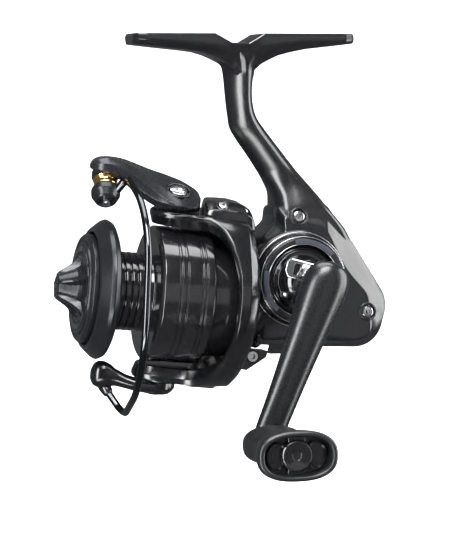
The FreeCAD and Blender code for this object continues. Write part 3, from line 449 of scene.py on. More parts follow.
STEM_FRONT = [(-60, -4.4), (-54, -6.0), (-52, -5.4), (-50.7, -6.5), (-48.9, -7.6), (-46.5, -8.3),
              (-43.8, -8.2),
              (-41.2, -7.6), (-33.2, -2.6), (-25.2, 2.8), (-21.5, 3.6), (-17.6, 4.1), (-12.4, 4.6),
              (-10.6, 4.8),
              (-8.8, 5.2), (-7.5, 6.0), (-6.6, 7.1), (-5.7, 9.1), (-4.8, 12.2)]
STEM_REAR = [(-60, -31), (-52.1, -27.7), (-46.2, -22.9), (-41.3, -19.3), (-33.3, -13.0), (-25.3, -6.7),
             (-22.1, -4.4), (-19.2, -3.4), (-15.7, -3.0), (-12.4, -3.2), (-10.8, -3.6), (-9.3, -3.8),
             (-8.1, -4.7),
             (-6.9, -6.6), (-5.8, -8.9), (-4.9, -12.4)]
STEM_RIDGE = [(-60, -25), (-52, -22.5), (-45, -18.3), (-36, -11.0), (-30, -6.5), (-25, -2.9), (-20, -1.0),
              (-12, -0.6),
              (-4, 0.5)]
STEM_HALF = [(-60, 8.6), (-49, 8.6), (-46, 8.5), (-43, 7.6), (-39, 6.2), (-34, 5.2), (-25, 4.5), (-16, 4.6),
             (-10.8, 5.0), (-8.5, 5.6), (-6.5, 6.2), (-4.5, 6.5)]
FOOT_TOP = [(-30.0, -0.6), (-29.4, 0.0), (-4.8, 0.0), (-0.7, -2.4), (4.0, -2.4), (8.4, 0.0), (29.4, 0.0),
            (30.0, -0.6)]
FOOT_RIDGE = [(-30, -1.9), (-27.3, -2.2), (-15, -2.4), (-7.8, -3.5), (-5.1, -4.6), (-3.2, -5.8),
              (-1.6, -7.3),
              (-0.7, -8.7), (0.4, -10.3), (1.2, -10.3), (2.0, -8.0), (3.5, -6.1), (5.8, -4.7), (9, -3.6),
              (17.6, -2.6),
              (27.6, -1.9), (30, -1.6)]
FOOT_LOW = [(-30, -2.6), (-23, -3.4), (-16.5, -4.1), (-12.4, -4.9), (-8.9, -5.8), (-6.6, -6.9),
            (-4.7, -7.9),
            (-3.2, -9.2), (-1.8, -11.0), (2.0, -11.0), (3.4, -9.2), (4.8, -7.8), (7.1, -6.6), (9.1, -5.7),
            (12.2, -4.8), (16.3, -4.3), (23.3, -3.6),
            (30, -2.9)]
FOOT_PLAN = [(-30, 4.6), (-29, 6.2), (-27, 6.8), (27, 6.8), (29, 6.2), (30, 4.6)]


def make_stem():
    rings = []
    for z in steps_between(-58, -4.9, 74):
        front, = smooth_between(STEM_FRONT, z)
        rear, = smooth_between(STEM_REAR, z)
        ridge, = smooth_between(STEM_RIDGE, z)
        half, = smooth_between(STEM_HALF, z)
        square = clamp((-36 - z) / 12)
        ring = []
        for i in range(72):
            t = 2 * math.pi * i / 72
            c, d = math.cos(t), math.sin(t)
            exponent = (1.42 if c > 0 else 1.85) + 2.6 * square
            a = math.copysign(abs(c) ** (2 / exponent), c)
            b = math.copysign(abs(d) ** (2 / exponent), d)
            reach = front - ridge if a > 0 else ridge - rear
            ring.append((ridge + a * reach, b * half, z))
        rings.append(ring)
    skin("stem", rings, ROW, "frame", "body_plastic", smooth=38)


def make_foot():
    rings = []
    stations = sorted(set(steps_between(-30, 30, 160) + [-4.8, -0.7, 4.0, 8.4, -29.4, 29.4]))
    for x in stations:
        top, = interpolate(FOOT_TOP, x)
        ridge, = interpolate(FOOT_RIDGE, x)
        low, = interpolate(FOOT_LOW, x)
        half, = interpolate(FOOT_PLAN, x)
        edge = half - 0.32 * max(0.0, -ridge - 3.6)
        waist = min(edge - 0.3, half * (0.80 - 0.07 * max(0.0, -low - 5.0) / 2))
        soft = 0.35
        middle = (top + ridge) / 2
        low = min(low, ridge - 0.45)
        side = [(half - soft, top), (half - 0.1, top - 0.1), (half, top - soft),
                ((half + edge) / 2 + 0.05, middle),
                (edge, ridge + 0.2), (edge - 0.1, ridge), (edge - 0.32, ridge - 0.22), (waist, low + 0.15),
                (waist - 0.5, low)]
        ring = [(x, y, z) for y, z in side] + [(x, -y, z) for y, z in reversed(side)]
        rings.append(ring)
    skin("foot", rings, ROW, "frame", "body_plastic", smooth=26)


# ------------------------------------------------------------------ body

BODY = [(-8.2, -45.2, 1.0), (-8.0, -49.2, 2.5), (-3.6, -53.4, 2.5), (-0.6, -81.3, 1.2), (-12.0, -82.2, 20),
        (-35.4, -83.1, 9.5), (-38.8, -70.5, 8.5), (-29.3, -55.5, 20), (-22.2, -45.2, 1.0)]


BODY_MIDDLE = Vector((-17.5, -66.5))
BODY_TOP, PARTING_Y = -45.2, 3.0
DEEPEST_INSET = 7.0


def inset(outline, distance):
    """Outline moved inwards, towards its middle, so that tight corners don't fold over."""
    moved = []
    for p in outline:
        rear = clamp((-10.0 - p.x) / 12.0) * clamp((p.y + 81.5) / 6.0)
        moved.append(p + (BODY_MIDDLE - p).normalized() * 1.12 * distance * (0.45 + 0.55 * rear))
    return moved


def resample(outline, spacing):
    points = []
    count = len(outline)
    for i in range(count):
        a, b = outline[i], outline[(i + 1) % count]
        steps = max(1, round((b - a).length / spacing))
        points += [a.lerp(b, k / steps) for k in range(steps)]
    return points


def shoulder(y, z):
    """The body's two faces lean in towards the stem above the boss."""
    t = clamp((BODY_TOP - z) / 11.0)
    share = 0.74 + 0.26 * t * t * (3 - 2 * t)
    return PARTING_Y + (y - PARTING_Y) * share if y > PARTING_Y else (y * share if y < 0 else y)


def make_body():
    outline = resample(rounded(BODY, 1.0, steps=10), 1.2)
    far = [(-11.5, 7.0), (-11.45, 4.6), (-11.1, 3.0), (-10.4, 1.8), (-9.2, 0.8), (-7.8, 0.2), (-6.4, 0.0),
           (2.86, 0.0),
           (2.98, 0.14), (3.0, 0.5)]
    near = [(3.0, 0.5), (3.02, 0.14), (3.14, 0.0), (7.0, 0.0), (7.5, 0.12), (7.8, 0.4), (9.0, 2.2),
            (10.3, 4.2), (11.0, 5.2),
            (11.2, 5.6), (11.3, 6.2), (11.3, 7.0)]
    for name, levels in (("body_far", far), ("body_cover", near)):
        bm = bmesh.new()
        rings = [[(p.x, shoulder(y, p.y), p.y) for p in inset(outline, depth)] for y, depth in levels]
        inner = levels[0][0] if name == "body_far" else levels[-1][0]
        for share in (0.2, 0.4, 0.6, 0.8, 0.97):
            ring = [p.lerp(BODY_MIDDLE, share) for p in inset(outline, DEEPEST_INSET)]
            ring = [(p.x, shoulder(inner, p.y), p.y) for p in ring]
            rings = [ring] + rings if name == "body_far" else rings + [ring]
        loft(bm, rings, cap_start=name == "body_far", cap_end=name == "body_cover")
        piece(name, bm, ROW, "frame", "body_plastic", smooth=24)
    lathe("boss", [(7.0, 13.0), (10.6, 12.9, 0.8), (11.6, 11.9, 0.8), (15.0, 11.3, 0.5), (15.0, 9.4, 0.3),
                   (12.4, 9.4, 0.3),
                   (12.4, 3.4), (7.0, 3.4)], CRANK, "frame", "body_plastic", 0.1)
    lathe("far_boss", [(-9.0, 0), (-9.0, 9.4), (-11.6, 9.2, 1.0), (-12.2, 7.9, 0.6), (-13.75, 7.6, 0.5),
                       (-13.75, 6.6, 0.3),
                       (-13.2, 6.4, 0.2), (-13.2, 0)], CRANK, "frame", "body_plastic", 0.1, wrap=False)


def make_body_details():
    heads = [(-13.2, -47.9), (-31.6, -73.2)]
    for i, (x, z) in enumerate(heads):
        slope = (0.0, 1.0, 0.22 if i == 0 else 0.0)
        seat = point_frame(ROW, x, shoulder(11.3, z) - 0.3, z, slope)
        hex_socket_screw("cover_screw_%d" % i, seat, 1.45, 0.75, "frame")
        cup = [(-3.2, 2.45), (0.55, 2.45, 0.2), (0.62, 2.0, 0.2), (-0.4, 1.75, 0.1), (-0.4, 0)]
        lathe("screw_cup_%d" % i, cup + [(-3.2, 0)], seat, "frame", "body_plastic", 0.05, wrap=False,
              segments=64)
    bm = bmesh.new()
    strip = rounded([(-1.6, -78.3), (-1.2, -81.2), (-26.5, -82.0), (-29.5, -79.2)], 0.6)
    slab(bm, strip, 8.0, 10.35)
    piece("lower_strip", bm, ROW, "frame", "body_plastic", bevel=0.4, segments=3)
    lathe("nose_collar", [(-5.0, 8.3), (-5.0, 12.6), (-1.7, 12.2, 0.8), (-0.6, 10.4, 0.6), (-0.6, 8.3)],
          SHAFT,
          "frame", "body_plastic", 0.1)


# ------------------------------------------------------------------ crank and handle

def make_hub():
    lathe("hub_flange", [(12.9, 0), (12.9, 9.0), (14.0, 9.0, 0.3), (14.4, 8.2, 0.2), (14.2, 7.9, 0.2),
                         (14.2, 6.4, 0.3),
                         (15.4, 6.1, 0.4), (17.6, 5.7, 0.4), (19.0, 5.5, 0.4), (19.6, 4.6, 0.3), (19.6, 0)],
                         CRANK,
          "crank", "handle_grey", 0.1, wrap=False, look=LOOKS["spool_gloss"])
    for i, turn in enumerate((40, 165, 280)):
        bm = bmesh.new()
        arc = [math.radians(turn + a) for a in steps_between(0, 62, 20)]
        outer = [Vector((10.75 * math.cos(a), 10.75 * math.sin(a))) for a in arc]
        inner = [Vector((9.6 * math.cos(a), 9.6 * math.sin(a))) for a in reversed(arc)]
        slab(bm, outer + inner, 15.4, 15.75, "yz")
        piece("boss_inlay_%d" % i, bm, CRANK, "frame", "ring_blue", bevel=0.1)
    lathe("boss_rim", [(15.0, 11.0), (15.5, 10.95, 0.15), (15.5, 9.5, 0.15), (15.0, 9.45)], CRANK, "frame",
          "body_plastic",
          0.1)
    # painted highlights: thin bright steel rings on the edges of the black plastic boss, in place of the
    # light its glossy edges catch
    for i, (out, radius) in enumerate(((15.55, 9.35), (15.1, 11.25), (12.3, 12.3))):
        lathe("boss_highlight_line_%d" % i, [(out - 0.3, radius), (out, radius), (out, radius + 0.22),
                                   (out - 0.3, radius + 0.22)], CRANK,
              "frame", "body_plastic", 0.08, look=LOOKS["steel"])
    lathe("hub_glint_ring", [(14.3, 8.0), (14.85, 7.9, 0.15), (14.85, 7.45, 0.15), (14.3, 7.35)], CRANK,
          "crank", "chrome",
          0.1, look=LOOKS["dark_wire"])


def make_fold_block():
    """Bright hinge block with two dark slots, its round end on the fold pin."""
    bm = bmesh.new()
    outline = rounded([(19.4, -3.9, 0.6), (27.0, -3.9, 3.0), (30.8, -3.9, 3.9), (30.8, 3.9, 3.9),
                       (27.0, 3.9, 3.0),
                       (19.4, 3.9, 0.6)])
    slab(bm, outline, -3.5, 3.5)
    piece("hinge_block", bm, ARM, "crank", "chrome", bevel=0.35, segments=3)
    for i, x in enumerate((21.6, 25.2)):
        cut = bmesh.new()
        slab(cut, rounded([(x - 0.9, -2.6), (x + 0.9, -2.6), (x + 0.9, 2.6), (x - 0.9, 2.6)], 0.4), -3.75,
             -2.2)
        piece("hinge_slot_%d" % i, cut, ARM, "crank", "spool_gloss", bevel=0.1)
    knuckle = frame_at(Vector((-10.3, 20.2, -61.2)) * MM, (0.30, 0.95, 0.08),
                       UP) @ Matrix.Rotation(math.radians(-15), 4, "X")
    bm = bmesh.new()
    slab(bm, rounded([(-3.9, -1.0), (-2.8, -2.5), (3.9, -2.5), (3.9, 2.5), (-2.8, 2.5), (-3.9, 1.4)], 0.4),
         -2.5, 1.0, "yz")
    piece("hinge_knuckle", bm, knuckle, "crank", "chrome", bevel=0.3, segments=3)
    for i, y in enumerate((-1.0, 1.9)):
        bm = bmesh.new()
        slab(bm, rounded([(y - 0.75, -1.6), (y + 0.75, -1.6), (y + 0.75, 1.6), (y - 0.75, 1.6)], 0.35), 0.5,
             1.1, "yz")
        piece("knuckle_slot_%d" % i, bm, knuckle, "crank", "spool_gloss", bevel=0.08)
    bm = bmesh.new()
    bmesh.ops.create_uvsphere(bm, u_segments=32, v_segments=20, radius=1.15)
    piece("hub_ball", bm, CRANK @ local(15.0, -4.7, -3.5), "crank", "chrome")


ARM_SECTIONS = [
    # down, middle of the section outwards, half thickness, half width
    (-6.25, 33.6, 0.8, 0.9), (-6.1, 33.6, 2.0, 1.9), (-5.6, 33.5, 3.1, 3.3), (-4.4, 33.4, 3.9, 4.7),
    (-2.4, 33.3, 4.5, 5.6), (0, 33.3, 4.7, 6.0), (3, 33.4, 4.7, 6.0), (7, 33.8, 4.4, 5.7),
    (12, 34.3, 3.9, 5.2),
    (18, 34.8, 3.4, 4.75), (26, 35.3, 2.9, 4.3), (34, 35.7, 2.5, 4.0), (39, 35.9, 2.3, 3.9),
    (43, 36.1, 2.2, 3.5),
    (44.6, 36.15, 2.0, 2.8), (45.4, 36.2, 1.6, 1.8), (45.7, 36.2, 0.9, 0.8),
]


def make_handle():
    bm = bmesh.new()
    rings = []
    for down in steps_between(ARM_SECTIONS[0][0], ARM_SECTIONS[-1][0], 80):
        out, thick, wide = smooth_between(ARM_SECTIONS, down)
        rings.append([(out + a, b, -down) for a, b in super_ring(thick, wide, 2.08, 56)])
    loft(bm, rings)
    arm = piece("crank_arm", bm, ARM, "handle", "handle_grey", smooth=60)
    cutter = bmesh.new()
    slab(cutter, [(14.0, -4.7), (29.2, -4.7), (31.2, -3.0), (31.2, 3.0), (31.4, 12.0), (14.0, 12.0)], -3.65,
         3.65)
    carve(arm, cutter, ARM)
    cutter = bmesh.new()
    slab(cutter, [(25.0, 3.4), (33.9, 3.4), (33.9, 8.0), (25.0, 8.0)], -8.0, 3.3)
    carve(arm, cutter, ARM)


def carve(target, cutter_bm, place):
    """Cut a shape out of a piece for good."""
    outward = bmesh.new()
    outward.from_mesh(target.data)
    bmesh.ops.recalc_face_normals(outward, faces=outward.faces)
    outward.to_mesh(target.data)
    outward.free()
    bmesh.ops.recalc_face_normals(cutter_bm, faces=cutter_bm.faces)
    mesh = bpy.data.meshes.new("cutter")
    cutter_bm.to_mesh(mesh)
    cutter_bm.free()
    mesh.transform(place)
    cutter = bpy.data.objects.new("cutter", mesh)
    bpy.context.scene.collection.objects.link(cutter)
    modifier = target.modifiers.new("carve", "BOOLEAN")
    modifier.operation = "DIFFERENCE"
    modifier.solver = "EXACT"
    modifier.object = cutter
    bpy.context.view_layer.update()
    graph = bpy.context.evaluated_depsgraph_get()
    result = bpy.data.meshes.new_from_object(target.evaluated_get(graph))
    target.modifiers.remove(modifier)
    old = target.data
    target.data = result
    bpy.data.meshes.remove(old)
    bpy.data.objects.remove(cutter)
    for polygon in result.polygons:
        polygon.use_smooth = True
    result.set_sharp_from_angle(angle=math.radians(40))


KNOB_SECTIONS = [
    # out, half along x, half along z, exponent
    (38.6, 4.2, 2.6, 2.2), (38.7, 5.6, 3.4, 2.2), (39.2, 6.7, 4.1, 2.3), (40.2, 7.4, 4.5, 2.4),
    (42.0, 7.85, 4.75, 2.5),
    (44.5, 7.9, 4.7, 2.5), (47.5, 7.5, 4.4, 2.4), (50.5, 7.2, 4.3, 2.3), (53.5, 7.6, 4.7, 2.3),
    (56.5, 8.6, 5.4, 2.4),
    (59.5, 9.6, 6.0, 2.5), (61.8, 10.1, 6.2, 2.5), (63.2, 10.1, 6.15, 2.5), (63.8, 9.85, 5.95, 2.5),
    (64.0, 9.5, 5.65, 2.5),
    (64.0, 8.9, 5.2, 2.5), (63.8, 8.65, 4.95, 2.5), (63.2, 8.5, 4.8, 2.5), (60.6, 8.0, 4.5, 2.5),
]


def make_knob():
    rings = []
    for out, wide, tall, exponent in KNOB_SECTIONS:
        rings.append([(out, -a, b) for a, b in super_ring(wide, tall, exponent, 72)])
    skin("knob_body", rings, KNOB, "knob", "knob_rubber", smooth=50)
    bm = bmesh.new()
    slab(bm, rounded([(-2.4, -4.75), (2.4, -4.75), (1.7, 0), (2.4, 4.75), (-2.4, 4.75), (-1.7, 0)], 0.4),
         60.2, 62.0, "yz")
    piece("knob_web", bm, KNOB, "knob", "knob_rubber", bevel=0.35, segments=3, look=LOOKS["spool_gloss"])
    lathe("knob_hub", [(60.2, 4.1), (62.3, 3.95, 0.3), (62.7, 3.5, 0.3), (62.2, 1.1, 0.2),
                       (61.2, 0.75, 0.2), (61.0, 0)], KNOB,
          "knob", "knob_rubber", 0.1, wrap=False, segments=64, look=LOOKS["spool_gloss"])
    for side in (-1, 1):
        bm = bmesh.new()
        outline = []
        for a, b in super_ring(1, 1, 2.4, 48):
            y = side * 5.1 + a * 2.35
            outline.append(Vector((y, b * 3.45 * (1 - 0.06 * a * side))))
        rings = [[(61.9, 5.1 * side + (p.x - 5.1 * side) * f,
                   p.y * f) for p in outline] for f in (1.0, 0.9)]
        rings[1] = [(62.2, y, z) for _, y, z in rings[1]]
        rings.append([(61.2, 5.1 * side + (y - 5.1 * side) * 0.93, z * 0.93) for _, y, z in rings[1]])
        loft(bm, rings, cap_start=False)
        piece("knob_window_%s" % ("rear" if side > 0 else "front"), bm, KNOB, "knob", "knob_rubber",
              smooth=40,
              look=LOOKS["spool_gloss"])


# ------------------------------------------------------------------ rotor

# angle from an arm's middle in degrees: how far forward the rotor reaches there
ROTOR_FRONT = [(0, 27.3), (5, 27.0), (9, 26.2), (12.5, 24.9), (15, 23.2), (16.6, 21.4), (17.4, 19.6),
               (18.2, 17.4),
               (19.6, 15.4), (22, 13.6), (26, 11.9), (32, 10.2), (40, 8.6), (50, 7.2), (62, 6.3), (75, 6.0),
               (90, 6.0)]
ROTOR_ANGLES = [0, 2.5, 5, 7, 9, 11, 12.5, 14, 15, 16, 16.6, 17, 17.4, 17.8, 18.2, 18.8, 19.6, 20.6, 22, 24,
                26, 29, 32, 36,
                40, 45, 50, 56, 62, 68, 75, 82]


RIM_ALONG, RIM_OUTSIDE, RIM_INSIDE, WALL_MIDDLE = 6.0, 20.6, 18.3, 18.75
ARM_OUTSIDE, ARM_INSIDE = 22.5, 18.6  # distances of an arm's flat faces from the axis
ARM_HALF_ANGLE = 21.5


def make_bell():
    """Cup whose rim runs forward into two arms, as one skin round the axis."""
    profile = rounded([(4.4, 3.4), (0.9, 15.6), (0.0, 16.7, 0.3), (0.0, 18.0, 0.9), (1.2, 19.9, 1.2),
                       (3.2, 20.6, 1.5),
                       (5.0, 20.6), (5.5, 20.6, 0.3), (6.0, 20.0, 0.4), (6.0, 18.9, 0.4), (5.4, 18.3, 0.3),
                       (4.9, 18.3),
                       (3.6, 18.2), (3.6, 15.3)], 0.05, closed=False)
    quarter = ROTOR_ANGLES + [180 - a for a in reversed(ROTOR_ANGLES[1:])] + [90]
    half_turn = sorted(set(quarter))
    angles = half_turn + [180 + a for a in half_turn]
    bm = bmesh.new()
    rings = []
    for along, radius in profile:
        ring = []
        for degrees in angles:
            off = degrees % 180
            off = min(off, 180 - off)
            reach, = interpolate(ROTOR_FRONT, off)
            share = clamp((along - 4.4) / 1.1)
            flat = ARM_OUTSIDE / math.cos(math.radians(min(off, ARM_HALF_ANGLE)))
            blend = clamp((off - ARM_HALF_ANGLE) / 38.0)
            target = flat + (RIM_OUTSIDE - flat) * blend * blend * (3 - 2 * blend)
            rise = clamp(along / RIM_ALONG)
            if radius > WALL_MIDDLE:
                grown = radius + (target - RIM_OUTSIDE) * rise * (2 - rise)
            else:
                inner = ARM_INSIDE / math.cos(math.radians(min(off, ARM_HALF_ANGLE)))
                lining = 1.0 if radius > 18.15 and along > 4.0 else 0.0
                grown = radius + (inner - RIM_INSIDE) * (1 - blend) * lining
            turned = math.radians(degrees)
            forward = along + (reach - RIM_ALONG) * share
            ring.append(bm.verts.new((forward, grown * math.sin(turned), grown * math.cos(turned))))
        rings.append(ring)
    bridge(bm, rings)
    piece("bell", bm, ROTOR, "rotor", "rotor_plastic", smooth=34, bevel=0.35, segments=3)


def make_rotor():
    make_bell()
    lathe("drum", [(3.6, 15.0), (3.6, 15.55), (13.9, 15.6, 0.2), (14.1, 15.2, 0.1), (14.6, 15.2, 0.1),
                   (14.8, 15.6, 0.2),
                   (15.4, 15.5, 0.2), (15.5, 14.6, 0.2), (15.0, 14.2), (7.4, 14.2), (7.4, 3.4), (4.4, 3.4)],
                   ROTOR, "rotor",
          "rotor_plastic", 0.05, look=LOOKS["spool_gloss"])


def make_arm_covers():
    sections = [(0.5, 19.6, 22.6, 7.3), (0.7, 19.5, 23.6, 7.6), (1.6, 19.5, 24.8, 7.9),
                (3.2, 19.5, 25.7, 8.0),
                (6.0, 20.0, 26.15, 7.9), (9.0, 21.0, 26.2, 7.6), (12.6, 22.0, 26.1, 7.2),
                (13.5, 22.4, 25.8, 6.9),
                (13.85, 22.5, 25.2, 6.5)]
    rings = []
    for s in steps_between(sections[0][0], sections[-1][0], 40):
        low, high, half = interpolate(sections, s)
        channel = max(low + 0.05, min(24.3, high - 0.4))
        corners = [(-half, low), (-half - 0.1, low + 1.0), (-half + 0.5, high - 1.6, 1.0),
                   (-half + 2.2, high - 0.2, 1.4),
                   (half - 4.6, high - 0.1, 1.2), (half - 0.6, high - 1.8, 0.7), (half + 0.1, low + 0.6),
                   (half, low),
                   (1.7, low), (1.7, channel), (-1.7, channel), (-1.7, low)]
        slant = (s / sections[-1][0]) ** 3
        rings.append([(s - slant * 0.18 * max(0.0, 3.6 - p.x), p.x,
                       p.y) for p in rounded(corners, 0.01, steps=4)])
    skin("upper_cover", rings, ROTOR, "rotor", "rotor_plastic", smooth=34)
    screw = point_frame(ROTOR, 9.4, 5.3, 25.15, (0, 0.62, 1))
    hex_socket_screw("cover_bolt_upper", screw, 1.3, 0.7, "rotor")
    lathe("cover_cup_upper", [(-1.6, 0), (-1.6, 2.0), (0.35, 2.0, 0.15), (0.4, 1.6, 0.1), (-0.3, 1.5),
                              (-0.3, 0)], screw, "rotor",
          "rotor_plastic", 0.05, wrap=False, segments=56)
    bm = bmesh.new()
    plan = rounded([(5.6, -6.8, 1.5), (13.8, -6.4, 1.5), (13.8, 6.4, 1.5), (5.6, 6.8, 1.5)])
    slab(bm, plan, -23.2, -22.0, "xy")
    piece("lower_cover", bm, ROTOR, "rotor", "rotor_plastic", bevel=0.4, segments=3)
    hex_socket_screw("cover_bolt_lower", point_frame(ROTOR, 9.4, 0, -23.2, (0, 0, -1)), 1.5, 0.7, "rotor")


# ------------------------------------------------------------------ bail

ARM_TABLE = [
    # along, middle y, half width, low, high
    (14.2, -0.1, 0.6, 22.9, 26.2), (14.5, -0.1, 1.9, 22.85, 26.9), (15.2, -0.1, 3.5, 22.8, 27.5),
    (16.5, -0.1, 5.0, 22.8, 28.0),
    (18.5, -0.2, 6.2, 22.8, 28.8), (20.8, -0.3, 6.6, 22.8, 29.5), (23.5, -0.8, 6.4, 22.9, 30.3),
    (26.5, -1.5, 5.7, 23.2, 31.2),
    (29.5, -2.0, 5.1, 24.6, 32.2), (32.5, -2.4, 4.7, 26.6, 33.2), (35.5, -2.6, 4.5, 28.6, 34.0),
    (38.5, -2.7, 4.4, 30.0, 34.3),
    (40.8, -2.7, 4.1, 30.4, 34.2), (42.4, -2.7, 3.3, 30.6, 33.7), (43.5, -2.7, 2.1, 30.9, 33.0),
    (43.95, -2.7, 0.8, 31.3, 32.4),
]


def make_bail_arm():
    bm = bmesh.new()
    rings = []
    for s in steps_between(ARM_TABLE[0][0], ARM_TABLE[-1][0], 72):
        middle, half, low, high = smooth_between(ARM_TABLE, s)
        lean = 0.50 * max(0.0, 1 - max(0.0, s - 24) / 16)
        tall = high - low
        near_top = max(low + 0.45 * tall, high - lean * half)
        corners = [(middle - half, low + 0.16 * tall), (middle - half, high - 0.28 * tall, 0.12 * tall),
                   (middle - 0.62 * half, high + 0.3 * lean * half, 0.12 * tall),
                   (middle + 0.62 * half, near_top + 0.05 * tall, 0.04 * tall),
                   (middle + half, near_top - 0.26 * tall, 0.06 * tall),
                   (middle + half, low + 0.22 * tall, 0.05 * tall),
                   (middle + 0.78 * half, low, 0.05 * tall),
                   (middle - 0.8 * half, low, 0.05 * tall)]
        rings.append([(s, p.x, p.y) for p in rounded(corners, 0.01, steps=3)])
    loft(bm, rings)
    arm = piece("bail_lever", bm, ROTOR, "bail", "arm_metal", smooth=30)
    seat = point_frame(ROTOR, PIVOT, 1.6, 27.9, (0, 0.457, 1))
    cutter = bmesh.new()
    revolve(cutter, [(-1.2, 0), (-1.2, 3.1), (2.5, 3.5), (2.5, 0)], 72)
    carve(arm, cutter, seat)
    lathe("pivot_cup", [(-1.3, 0), (-1.3, 3.2), (0.12, 3.25, 0.1), (0.12, 2.8, 0.1), (-0.9, 2.7),
                        (-0.9, 0)], seat, "bail",
          "arm_metal", 0.05, wrap=False, segments=64, look=LOOKS["spool_gloss"])
    hex_socket_screw("bail_pivot_screw", seat @ local(-0.9), 2.35, 1.1, "bail", socket=0.42)


def make_roller():
    lathe("roller_ring", [(0.9, 1.3), (0.9, 3.0, 0.2), (1.3, 3.25, 0.2), (1.8, 2.9, 0.3), (2.5, 2.45, 0.8),
                          (3.2, 2.9, 0.3),
                          (3.7, 3.25, 0.2), (4.1, 3.1, 0.2), (4.1, 1.3)], ROLLER, "roller", "brass", 0.1)
    lathe("roller_cone", [(3.9, 0), (3.9, 3.1, 0.2), (4.2, 3.5, 0.2), (4.9, 3.8, 0.2), (6.3, 3.8, 0.15),
                          (6.6, 3.6, 0.1),
                          (8.0, 2.9, 0.2), (8.4, 2.5, 0.15), (8.4, 2.0, 0.1), (8.2, 1.9, 0.1),
                          (8.2, 0.9, 0.1),
                          (8.4, 0.7, 0.1), (8.4, 0)], ROLLER, "bail", "lip_metal", 0.05, wrap=False)
    lathe("roller_seat", [(-1.8, 0), (-1.8, 3.4, 0.5), (0.1, 3.6, 0.4), (0.65, 3.1, 0.2), (0.65, 0)],
          ROLLER, "bail", "arm_metal",
          0.1, wrap=False)


WIRE = [(38.0, 5.6, 25.4), (35.6, 9.0, 29.8), (34.2, 30.4, 21.0), (32.6, 32.2, -20.0), (29.6, 3.0, -32.4),
        (34.4, -2.2, -25.6)]
WIRE_RADII = [2.4, 22.0, 25.0, 4.4]


def wire_path():
    """Straight runs with tangent arcs: the CAD wire's corners, with a wider last bend."""
    corners = [Vector(c) for c in WIRE]
    path = [corners[0]]
    for before, corner, after, radius in zip(corners, corners[1:], corners[2:], WIRE_RADII):
        a, b = (before - corner).normalized(), (after - corner).normalized()
        half = a.angle(b) / 2
        reach = radius / math.tan(half)
        centre = corner + (a + b).normalized() * (radius / math.sin(half))
        start, end = corner + a * reach - centre, corner + b * reach - centre
        path += [centre + radius * start.slerp(end, i / 28) for i in range(29)]
    path.append(corners[-1])
    return path


TUBE_SIDES = 24


def tube(bm, path, radii):
    """Round tube along points, with parallel-carried sections."""
    rings = []
    side = None
    for i, point in enumerate(path):
        ahead = (path[min(i + 1, len(path) - 1)] - path[max(i - 1, 0)]).normalized()
        if side is None:
            side = ahead.orthogonal().normalized()
        side = (side - ahead * side.dot(ahead)).normalized()
        other = ahead.cross(side)
        radius = radii(i / (len(path) - 1))
        rings.append([point + radius * (math.cos(t) * side + math.sin(t) * other)
                      for t in (2 * math.pi * k / TUBE_SIDES for k in range(TUBE_SIDES))])
    loft(bm, rings)


def make_wire():
    path = wire_path()
    bm = bmesh.new()
    tube(bm, path, lambda t: 0.95 + 0.2 * max(0.0, 1 - t / 0.05))
    piece("wire", bm, SHAFT, "bail", "dark_wire", smooth=60)
    end = path[-1]
    inward = (path[-1] - path[-3]).normalized()
    sleeve = [end - inward * d for d in (-1.6, -0.6, 0.6, 1.8, 2.4, 2.7)]
    bm = bmesh.new()
    sizes = [1.2, 1.55, 1.6, 1.45, 1.25, 0.8]
    tube(bm, sleeve, lambda t: sizes[round(t * 5)])
    piece("wire_sleeve", bm, SHAFT, "bail", "rotor_plastic", smooth=40)


def make_bail_cam():
    """Lower pivot: disc, bridge and the bulb that holds the wire's end."""
    down = point_frame(ROTOR, PIVOT, 0, 0, (0, 0, -1))
    lathe("cam_disc", [(22.8, 0), (22.8, 5.4, 0.3), (24.6, 5.5, 0.5), (25.6, 4.9, 0.5), (26.3, 4.2, 0.3),
                       (26.4, 0)], down,
          "bail", "rotor_plastic", 0.1, wrap=False)
    hex_socket_screw("cam_screw", down @ local(26.35), 1.9, 0.6, "bail")
    sections = [(22.0, 0.0, -24.6, 3.4, 1.7), (26.0, 0.0, -24.4, 3.2, 1.8), (29.5, -0.6, -23.6, 2.8, 1.9),
                (32.0, -1.2, -22.8, 2.7, 2.3), (33.6, -1.6, -22.4, 2.9, 3.1), (35.2, -1.8, -22.3, 3.0, 3.6),
                (36.6, -1.9, -22.3, 2.9, 3.5), (37.7, -1.9, -22.4, 2.3, 2.8), (38.3, -1.9, -22.5, 1.2, 1.5)]
    rings = []
    for s in steps_between(sections[0][0], sections[-1][0], 40):
        middle, centre, wide, tall = interpolate(sections, s)
        rings.append([(s, middle + a, centre + b) for a, b in super_ring(wide, tall, 2.3, 44)])
    skin("wire_bulb", rings, SHAFT, "bail", "rotor_plastic", smooth=60)


# ------------------------------------------------------------------ spool and drag knob

